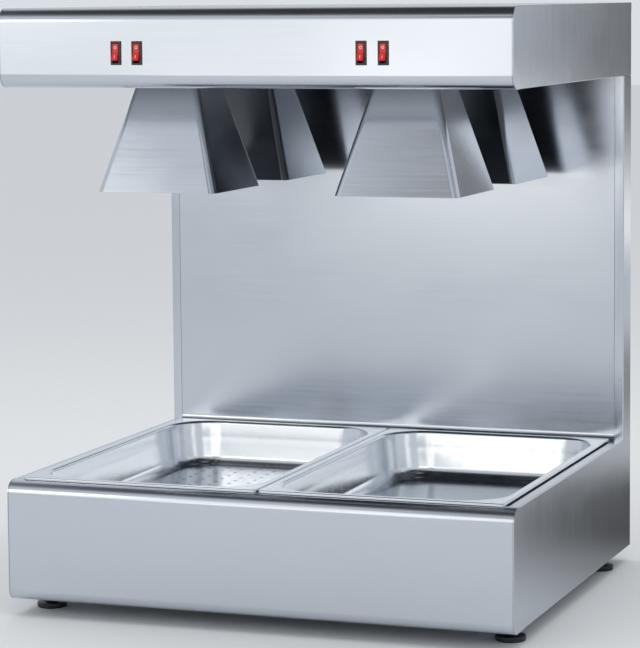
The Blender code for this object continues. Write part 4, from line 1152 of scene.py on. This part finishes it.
def lamp_glass_at_origin(low, high):
    """A reflector lamp's glass over the origin: neck, bowl and a gently domed frosted face."""
    radius = (high.x - low.x) / 2
    drop = high.z - low.z
    profile = [(share * radius, high.z - down * drop) for share, down in GLASS_SHARES]
    piece = turned("lamp_glass", profile, SMALL_ROUND_SIDES)
    apply_modifier(piece, "SUBSURF", levels=2, render_levels=2)
    paint(piece, "silvered_lamp_glass")
    face_start = high.z - FROSTED_SHARE * drop
    edit(piece, "FACE", lambda face: face.calc_center_median().z < face_start)
    paint_selected(piece, "frosted_lamp_glass")
    deselect_all()
    return piece


def cap_at_origin(sizes, low, high):
    """A lamp's screw cap over the origin: rolled thread, insulator and contact."""
    radius = (high.x - low.x) / 2
    shoulder = high.z - 2 * sizes.cap_tip_height
    turns = int((shoulder - low.z) / sizes.cap_thread)
    profile = [(radius - sizes.thread_depth, low.z)]
    for turn in range(turns):
        foot = low.z + (turn + 1 / 4) * sizes.cap_thread
        profile += [
            (radius, foot + sizes.cap_thread / 4),
            (radius - sizes.thread_depth, foot + sizes.cap_thread * 3 / 4),
        ]
    profile += [
        (radius - sizes.thread_depth, shoulder),
        (sizes.cap_tip, high.z - sizes.cap_tip_height),
        (sizes.cap_tip, high.z - sizes.holder_edge),
        (sizes.cap_tip - sizes.holder_edge, high.z),
    ]
    piece = turned("lamp_cap", profile, SMALL_ROUND_SIDES)
    apply_modifier(piece, "SUBSURF", levels=1, render_levels=1)
    return piece


def holder_at_origin(sizes, low, high):
    """A porcelain lamp holder over the origin: bored body with a groove and a chamfered shoulder."""
    radius = (high.x - low.x) / 2
    bore = sizes.holder_bore
    edge = sizes.holder_edge
    groove = (low.z + high.z) / 2
    return turned("lamp_holder", [
        (bore - edge, low.z + sizes.holder_depth),
        (bore, low.z + sizes.holder_depth - edge),
        (bore, low.z + edge),
        (bore + edge, low.z),
        (radius - edge, low.z),
        (radius, low.z + edge),
        (radius, groove - edge),
        (radius - edge, groove),
        (radius, groove + edge),
        (radius, high.z - sizes.holder_shoulder),
        (radius - sizes.holder_shoulder, high.z),
    ], HOLDER_SIDES)


class CHIPWARMER_OT_lamps(bpy.types.Operator):
    """Model the four reflector lamps with their caps, and the porcelain holders on their rails"""
    bl_idname = "chip_warmer.lamps"
    bl_label = "Lamps"
    bl_options = {"REGISTER", "UNDO"}

    def execute(self, context):
        sizes = context.scene.chip_warmer_lamps
        glass = lamp_glass_at_origin(*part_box("heat_lamp_front_left"))
        cap = cap_at_origin(sizes, *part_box("lamp_cap_front_left"))
        holder = holder_at_origin(sizes, *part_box("lamp_holder_front_left"))
        for first, kind, material, slot in (
            (glass, "heat_lamp_", None, "lamp_glass"),
            (cap, "lamp_cap_", "rolled_brass", "cap_brass"),
            (holder, "lamp_holder_", "glazed_porcelain", "porcelain"),
        ):
            for corner in CORNERS:
                node = kind + corner
                piece = copy_over(node, first, first.name + "_" + corner)
                finish(piece, material, "cabinet", slot, node)
            discard(first)
        return {"FINISHED"}


# Switches

def switch_body_at_origin(sizes, low, high):
    """A switch body at x = 0: its bezel before the sheet, its body behind, and the rocker's pocket."""
    half_x = (high.x - low.x) / 2
    half_z = (high.z - low.z) / 2
    middle = (low.z + high.z) / 2
    back = low.y + sizes.bezel
    piece = add_block("switch_body", (-half_x, low.y, low.z), (half_x, back, high.z))
    edit(piece, "FACE", at(y=back))
    bpy.ops.mesh.inset(thickness=sizes.bezel_overlap)
    extrude_faces((0, high.y - back, 0))
    edit(piece, "FACE", at(y=low.y))
    bpy.ops.mesh.inset(thickness=sizes.bezel_frame)
    share = (half_z - sizes.bezel_end) / (half_z - sizes.bezel_frame)
    bpy.ops.transform.resize(value=(1, 1, share), center_override=(0, low.y, middle))
    extrude_faces((0, sizes.pocket, 0))
    deselect_all()
    soften(piece, sizes.edge, MOULDED_EDGE_STEPS)
    return piece


def rocker_mark(piece, sizes, side):
    """Lays a mark on the rocker's upper (side 1) or lower (side -1) flat, as thick as its print."""
    apply_modifier(piece, "SOLIDIFY", thickness=2 * sizes.mark_height, offset=0)
    height = sizes.mark_place * sizes.rocker_height / 2
    piece.rotation_euler = (math.pi / 2 + side * sizes.tilt, 0, 0)
    piece.location = (0, -sizes.rocker_front - height * math.tan(sizes.tilt), side * height)
    paint(piece, "pad_printed_ink")
    return named(piece.name)


def rocker_at_pivot(sizes):
    """A rocker about its pivot, not yet tipped: two flats that meet in a valley, an O and an I."""
    half_x = sizes.rocker_width / 2
    half_z = sizes.rocker_height / 2
    front = -sizes.rocker_front
    back = sizes.rocker_back
    piece = add_block("rocker", (-half_x, front, -half_z), (half_x, back, half_z))
    cut_across(piece, Y, 0)
    cut_across(piece, Z, 0)
    edit(piece, "VERT", lambda vert: near(vert.co.y, back))
    bpy.ops.transform.resize(value=(1, 1, 1 / 2), center_override=(0, back, 0))
    edit(piece, "VERT", lambda vert: near(vert.co.y, front) and not near(vert.co.z, 0))
    bpy.ops.transform.translate(value=(0, -half_z * math.tan(sizes.tilt), 0))
    round_edges(piece, sizes.rocker_valley, SMALL_CORNER_STEPS, at(y=front, z=0))
    deselect_all()
    soften(piece, sizes.edge, MOULDED_EDGE_STEPS)
    paint(piece, "red_polycarbonate_moulding")

    deselect_all()
    bpy.ops.mesh.primitive_circle_add(vertices=SMALL_ROUND_SIDES, radius=sizes.mark, fill_type="NGON")
    ring = named("off_mark")
    edit(ring, "FACE", every)
    bpy.ops.mesh.inset(thickness=sizes.mark_line)
    bpy.ops.mesh.delete(type="FACE")
    deselect_all()
    bar = add_rectangle("on_mark", (0, 0, 0), (sizes.mark_line, 2 * sizes.mark))
    return joined("rocker", [piece, rocker_mark(ring, sizes, 1), rocker_mark(bar, sizes, -1)])


class CHIPWARMER_OT_switches(bpy.types.Operator):
    """Model the four rocker switches, each with its bezel and its marked rocker"""
    bl_idname = "chip_warmer.switches"
    bl_label = "Switches"
    bl_options = {"REGISTER", "UNDO"}

    def execute(self, context):
        sizes = context.scene.chip_warmer_switches
        body = switch_body_at_origin(sizes, *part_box("switch_body_left_1"))
        rocker = rocker_at_pivot(sizes)
        pivots = {
            joint["child"]: joint["pos_m"] for joint in frame["joints"] if joint["type"] == "hinge"
        }
        for switch in SWITCHES:
            node = "switch_body_" + switch
            twin = copy_of(body, "switch_bezel_" + switch, (middle_of(node).x, 0, 0))
            finish(twin, "black_polyamide_moulding", "cabinet", "black_plastic", node)
            node = "rocker_" + switch
            twin = copy_of(rocker, "marked_rocker_" + switch, pivots[node], (-sizes.tilt, 0, 0))
            finish(twin, None, node, "red_plastic", node)
        discard(body, rocker)
        return {"FINISHED"}


# Feet, inlet and screws

def foot_at_origin(sizes, low, high):
    """A foot's pad and collar over the origin, hollowed a little where it meets the table."""
    radius = (high.x - low.x) / 2
    edge = sizes.pad_edge
    ring = radius - edge - sizes.pad_recess
    return turned("foot_pad", [
        (ring - edge, edge / 2),
        (ring, 0),
        (radius - edge, 0),
        (radius - edge / 3, edge / 3),
        (radius, edge),
        (radius, sizes.pad - edge),
        (radius - edge / 3, sizes.pad - edge / 3),
        (radius - sizes.pad_slope, sizes.pad),
        (sizes.collar + edge, sizes.pad + edge),
        (sizes.collar, sizes.pad + 2 * edge),
        (sizes.collar, sizes.collar_top - edge / 2),
        (sizes.collar - edge / 2, sizes.collar_top),
        (sizes.stud, sizes.collar_top),
    ], ROUND_SIDES)


def stud_at_origin(sizes, high):
    """A foot's threaded stud over the origin, from just inside the collar to its chamfered end."""
    root = sizes.stud - sizes.stud_thread_depth
    start = sizes.collar_top - sizes.stud_thread
    turns = int((high.z - start) / sizes.stud_thread)
    profile = [(root, start)]
    for turn in range(turns - 1):
        foot = start + turn * sizes.stud_thread
        profile += [(sizes.stud, foot + sizes.stud_thread / 2), (root, foot + sizes.stud_thread)]
    profile.append((root - sizes.stud_thread_depth, high.z))
    return turned("foot_stud", profile, STUD_SIDES)


class CHIPWARMER_OT_feet(bpy.types.Operator):
    """Model the four levelling feet with their threaded studs"""
    bl_idname = "chip_warmer.feet"
    bl_label = "Feet"
    bl_options = {"REGISTER", "UNDO"}

    def execute(self, context):
        sizes = context.scene.chip_warmer_fittings
        low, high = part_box("foot_front_left")
        pad = foot_at_origin(sizes, low, high)
        stud = stud_at_origin(sizes, high)
        for corner in CORNERS:
            node = "foot_" + corner
            foot = copy_over(node, pad, "foot_pad_" + corner)
            finish(foot, "black_polyethylene_foot", node, "foot_plastic", node)
            foot_stud = copy_over(node, stud, "foot_stud_" + corner)
            finish(foot_stud, "zinc_plated_steel", node, "zinc_steel")
        discard(pad, stud)
        return {"FINISHED"}


class CHIPWARMER_OT_inlet(bpy.types.Operator):
    """Model the mains inlet's moulding and its three pins"""
    bl_idname = "chip_warmer.inlet"
    bl_label = "Mains Inlet"
    bl_options = {"REGISTER", "UNDO"}

    def execute(self, context):
        sizes = context.scene.chip_warmer_fittings
        edge = context.scene.chip_warmer_switches.edge
        low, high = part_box("mains_inlet")
        centre = (low + high) / 2
        half = (high - low) / 2
        back = high.y - sizes.inlet_flange
        piece = add_block("inlet_moulding", (low.x, back, low.z), high)
        edit(piece, "FACE", at(y=back))
        self.inset_to(centre, half, back, sizes.inlet_width, sizes.inlet_height)
        extrude_faces((0, low.y - back, 0))
        edit(piece, "FACE", at(y=high.y))
        self.inset_to(centre, half, high.y, sizes.socket_width, sizes.socket_height)
        extrude_faces((0, -sizes.socket_depth, 0))
        socket_x = sizes.socket_width / 2
        socket_top = centre.z + sizes.socket_height / 2
        socket_foot = centre.z - sizes.socket_height / 2
        for side in SIDES.values():
            for reach, z, radius, steps in (
                (socket_x, socket_top, sizes.socket_chamfer, 1),
                (socket_x, socket_foot, sizes.inlet_corner / 2, FOLD_STEPS),
                (half.x, low.z, sizes.inlet_corner, SMALL_CORNER_STEPS),
                (half.x, high.z, sizes.inlet_corner, SMALL_CORNER_STEPS),
            ):
                round_edges(piece, radius, steps, lambda edge: (
                    not keeps(edge, Y) and lies_at(edge, x=centre.x + side * reach, z=z)
                ))
        deselect_all()
        soften(piece, edge)
        finish(piece, "black_polyamide_moulding", "cabinet", "black_plastic", "mains_inlet")
        self.add_pins(sizes, centre, high.y - sizes.socket_depth)
        return {"FINISHED"}

    def inset_to(self, centre, half, y, width, height):
        """Insets the selected face to a width and a height."""
        border = half.x - width / 2
        bpy.ops.mesh.inset(thickness=border)
        share = height / 2 / (half.z - border)
        bpy.ops.transform.resize(value=(1, 1, share), center_override=(centre.x, y, centre.z))

    def add_pins(self, sizes, centre, floor):
        """Three flat pins with rounded ends, the middle one raised."""
        pins = []
        for x, z in ((-sizes.pin_spread, 0), (0, sizes.pin_rise), (sizes.pin_spread, 0)):
            middle = Vector((centre.x + x, floor, centre.z + z))
            half = Vector((sizes.pin_width, 0, sizes.pin_height)) / 2
            reach = Vector((0, sizes.pin_length, 0))
            pins.append(add_block("pin", middle - half, middle + half + reach))
        pin_set = joined("inlet_pins", pins)
        soften(pin_set, sizes.pin_width / 4, MOULDED_EDGE_STEPS)
        finish(pin_set, "zinc_plated_steel", "cabinet", "zinc_steel")


class CHIPWARMER_OT_cover_screws(bpy.types.Operator):
    """Model the four cross-recessed cover screws"""
    bl_idname = "chip_warmer.cover_screws"
    bl_label = "Cover Screws"
    bl_options = {"REGISTER", "UNDO"}

    def execute(self, context):
        sizes = context.scene.chip_warmer_fittings
        nodes = [f"cover_screw_{level}_{side}" for level in ("lower", "upper") for side in SIDES]
        low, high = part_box(nodes[0])
        radius = (high.x - low.x) / 2
        head = sizes.screw_head
        point = low.y - high.y
        screw = turned("cover_screw", [
            (sizes.screw * 2 / 3, point),
            (sizes.screw, point + sizes.screw / 3),
            (sizes.screw, -head),
            *[(radius * across, -head * down) for across, down in SCREW_HEAD_SHARES],
        ], SMALL_ROUND_SIDES)
        arm = sizes.recess_arm / 2
        reach = radius * RECESS_REACH_SHARE
        depth = -head * RECESS_DEPTH_SHARE
        for x, y in ((reach, arm), (arm, reach)):
            cut_out(screw, add_block("arm", (-x, -y, depth), (x, y, head)))
        for node in nodes:
            centre = middle_of(node)
            seat = (centre.x, high.y, centre.z)
            twin = copy_of(screw, node + "_cross_head", seat, (-math.pi / 2, 0, 0))
            finish(twin, "zinc_plated_steel", "cabinet", "zinc_steel", node)
        discard(screw)
        return {"FINISHED"}


class CHIPWARMER_OT_inner_parts(bpy.types.Operator):
    """Finish the supports, rails, lead and terminal block, which keep the frame's shapes"""
    bl_idname = "chip_warmer.inner_parts"
    bl_label = "Inner Parts"
    bl_options = {"REGISTER", "UNDO"}

    def execute(self, context):
        finishes = {
            # The underside gets painted shade: dark grey but for its front edge
            "canopy_underside": "heat_darkened_stainless",
            "supply_lead": "silicone_sheath",
            "terminal_block": "glazed_porcelain",
        }
        for node in (
            "floor_panel", "pan_centre_rail", "pan_rail_left", "pan_rail_right", "pan_rear_ledge"
        ):
            finishes[node] = "mill_finish_stainless"
        bushes = ["foot_bush_" + corner for corner in CORNERS]
        for node in ("lamp_rail_front", "lamp_rail_rear", *bushes):
            finishes[node] = "zinc_plated_steel"
        for node, material in finishes.items():
            paint(frame["nodes"][node], material)
        return {"FINISHED"}


def main():
    register()
    for operator in PIECE_OPERATORS:
        group, name = operator.bl_idname.split(".")
        getattr(getattr(bpy.ops, group), name)()


# Studio

def add_area_light(name, spot, target, width, height, radiance, in_reflections):
    """A soft rectangular light aimed at a point. In reflections it adds to the backdrop behind it."""
    light = bpy.data.lights.new(name, "AREA")
    light.shape = "RECTANGLE"
    light.size = width
    light.size_y = height
    light.color = bpy.context.scene.chip_warmer_finish.lamp
    light.energy = radiance * math.pi * width * height
    lamp = bpy.data.objects.new(name, light)
    lamp.location = spot
    lamp.rotation_euler = (Vector(target) - Vector(spot)).to_track_quat("-Z", "Y").to_euler()
    lamp.visible_camera = False
    lamp.visible_glossy = in_reflections
    bpy.context.scene.collection.objects.link(lamp)


def add_card(name, centre, size, tone, solid):
    """A card that only reflections see, glowing at its own tone as painted light and shade for the
    polished metal. It fades towards its edges.
    """
    width, depth, height = size
    if height:
        card = add_rectangle(name, centre, (width, height), (math.pi / 2, 0, 0))
    else:
        card = add_rectangle(name, centre, (width, depth))
    material = bpy.data.materials.new(name + "_paper")
    material.use_nodes = True
    material.node_tree.nodes.clear()
    place_socket = add_node(material, "ShaderNodeTexCoord").outputs["Object"]
    from_middle = add_node(
        material, "ShaderNodeVectorMath", {0: place_socket, 1: centre}, operation="SUBTRACT"
    )
    shares = [2 / side if side else 0 for side in size]
    shared = add_node(
        material, "ShaderNodeVectorMath", {0: from_middle.outputs["Vector"], 1: shares},
        operation="MULTIPLY",
    )
    outwards = add_node(
        material, "ShaderNodeVectorMath", {0: shared.outputs["Vector"]}, operation="LENGTH"
    )
    fade = add_node(
        material, "ShaderNodeMapRange",
        {"Value": outwards.outputs["Value"], "From Min": solid, "From Max": 1.0},
        interpolation_type="SMOOTHSTEP",
    )
    # Painted light and shade: the card gives off its tone instead of being lit
    glow = add_node(material, "ShaderNodeEmission", {"Color": (tone, tone, tone, 1), "Strength": 1.0})
    clear = add_node(material, "ShaderNodeBsdfTransparent")
    mixed = add_node(material, "ShaderNodeMixShader", {
        0: fade.outputs["Result"], 1: glow.outputs["Emission"], 2: clear.outputs["BSDF"],
    })
    add_node(material, "ShaderNodeOutputMaterial", {"Surface": mixed.outputs["Shader"]})
    card.data.materials.append(material)
    for kind in ("camera", "diffuse", "transmission", "volume_scatter", "shadow"):
        setattr(card, "visible_" + kind, False)


class CHIPWARMER_OT_stage(bpy.types.Operator):
    """Set up the plain floor, the soft lights and the camera"""
    bl_idname = "chip_warmer.stage"
    bl_label = "Studio"
    bl_options = {"REGISTER", "UNDO"}

    def execute(self, context):
        self.add_camera(context)
        self.add_floor(context)
        self.light_room(context)
        for name, details in LIGHTS.items():
            add_area_light(name, *details)
        for name, details in CARDS.items():
            add_card(name, *details)
        return {"FINISHED"}

    def add_camera(self, context):
        """The camera at the photograph's place, with its lens shift."""
        studio = context.scene.chip_warmer_studio
        data = bpy.data.cameras.new("camera")
        data.lens = studio.focal_length
        data.sensor_width = SENSOR_WIDTH_MM
        data.shift_y = studio.shift
        data.clip_end = SEEN_AS_FAR_AS
        camera = bpy.data.objects.new("camera", data)
        turn = Matrix.Rotation(studio.camera_turn, 4, "Z")
        dip = Matrix.Rotation(math.pi / 2 - studio.camera_dip, 4, "X")
        roll = Matrix.Rotation(studio.camera_roll, 4, "Z")
        camera.matrix_world = Matrix.Translation(studio.camera_place) @ turn @ dip @ roll
        context.scene.collection.objects.link(camera)
        context.scene.camera = camera
        context.scene.view_settings.view_transform = "Standard"

    def add_floor(self, context):
        """A wide matt floor in one pale tone."""
        studio = context.scene.chip_warmer_studio
        floor = add_rectangle("studio_floor", (0, 0, 0), (studio.floor_size, studio.floor_size))
        paint(floor, "painted_board")

    def light_room(self, context):
        """Soft light from all around; the backdrop's colour is what camera and reflections see."""
        world = bpy.data.worlds.new("studio_room")
        context.scene.world = world
        world.use_nodes = True
        world.node_tree.nodes.clear()
        path = add_node(world, "ShaderNodeLightPath")
        seen = path.outputs["Is Camera Ray"]
        for kind in ("Is Glossy Ray", "Is Transmission Ray"):
            seen = add_node(
                world, "ShaderNodeMath", {0: seen, 1: path.outputs[kind]}, operation="MAXIMUM"
            ).outputs["Value"]
        colours = context.scene.chip_warmer_finish
        backdrop = add_node(
            world, "ShaderNodeBackground", {"Color": (*colours.backdrop, 1), "Strength": 1.0}
        )
        light = add_node(world, "ShaderNodeBackground", {
            "Color": (1, 1, 1, 1), "Strength": context.scene.chip_warmer_studio.room_light,
        })
        mixed = add_node(world, "ShaderNodeMixShader", {0: seen})
        world.node_tree.links.new(light.outputs["Background"], mixed.inputs[1])
        world.node_tree.links.new(backdrop.outputs["Background"], mixed.inputs[2])
        add_node(world, "ShaderNodeOutputWorld", {"Surface": mixed.outputs["Shader"]})


# Add-on

PIECE_OPERATORS = (
    CHIPWARMER_OT_stage,
    CHIPWARMER_OT_base_front,
    CHIPWARMER_OT_side_panels,
    CHIPWARMER_OT_back_panel,
    CHIPWARMER_OT_canopy,
    CHIPWARMER_OT_rear_sheets,
    CHIPWARMER_OT_pans,
    CHIPWARMER_OT_drainer,
    CHIPWARMER_OT_shades,
    CHIPWARMER_OT_lamps,
    CHIPWARMER_OT_switches,
    CHIPWARMER_OT_feet,
    CHIPWARMER_OT_inlet,
    CHIPWARMER_OT_cover_screws,
    CHIPWARMER_OT_inner_parts,
)


class CHIPWARMER_PT_panel(bpy.types.Panel):
    """Lists the chip warmer's pieces in the sidebar"""
    bl_idname = "CHIPWARMER_PT_panel"
    bl_label = "Chip Warmer"
    bl_space_type = "VIEW_3D"
    bl_region_type = "UI"
    bl_category = "Chip Warmer"

    def draw(self, context):
        for operator in PIECE_OPERATORS:
            self.layout.operator(operator.bl_idname)
        for name in SETTINGS:
            group = getattr(context.scene, name)
            box = self.layout.box()
            for setting in group.__annotations__:
                box.prop(group, setting)


def register():
    for group in SETTINGS.values():
        bpy.utils.register_class(group)
    for name, group in SETTINGS.items():
        setattr(bpy.types.Scene, name, bpy.props.PointerProperty(type=group))
    for piece_class in (*PIECE_OPERATORS, CHIPWARMER_PT_panel):
        bpy.utils.register_class(piece_class)


def unregister():
    for piece_class in (CHIPWARMER_PT_panel, *reversed(PIECE_OPERATORS)):
        bpy.utils.unregister_class(piece_class)
    for name, group in SETTINGS.items():
        delattr(bpy.types.Scene, name)
        bpy.utils.unregister_class(group)


if __name__ == "__main__":
    main()
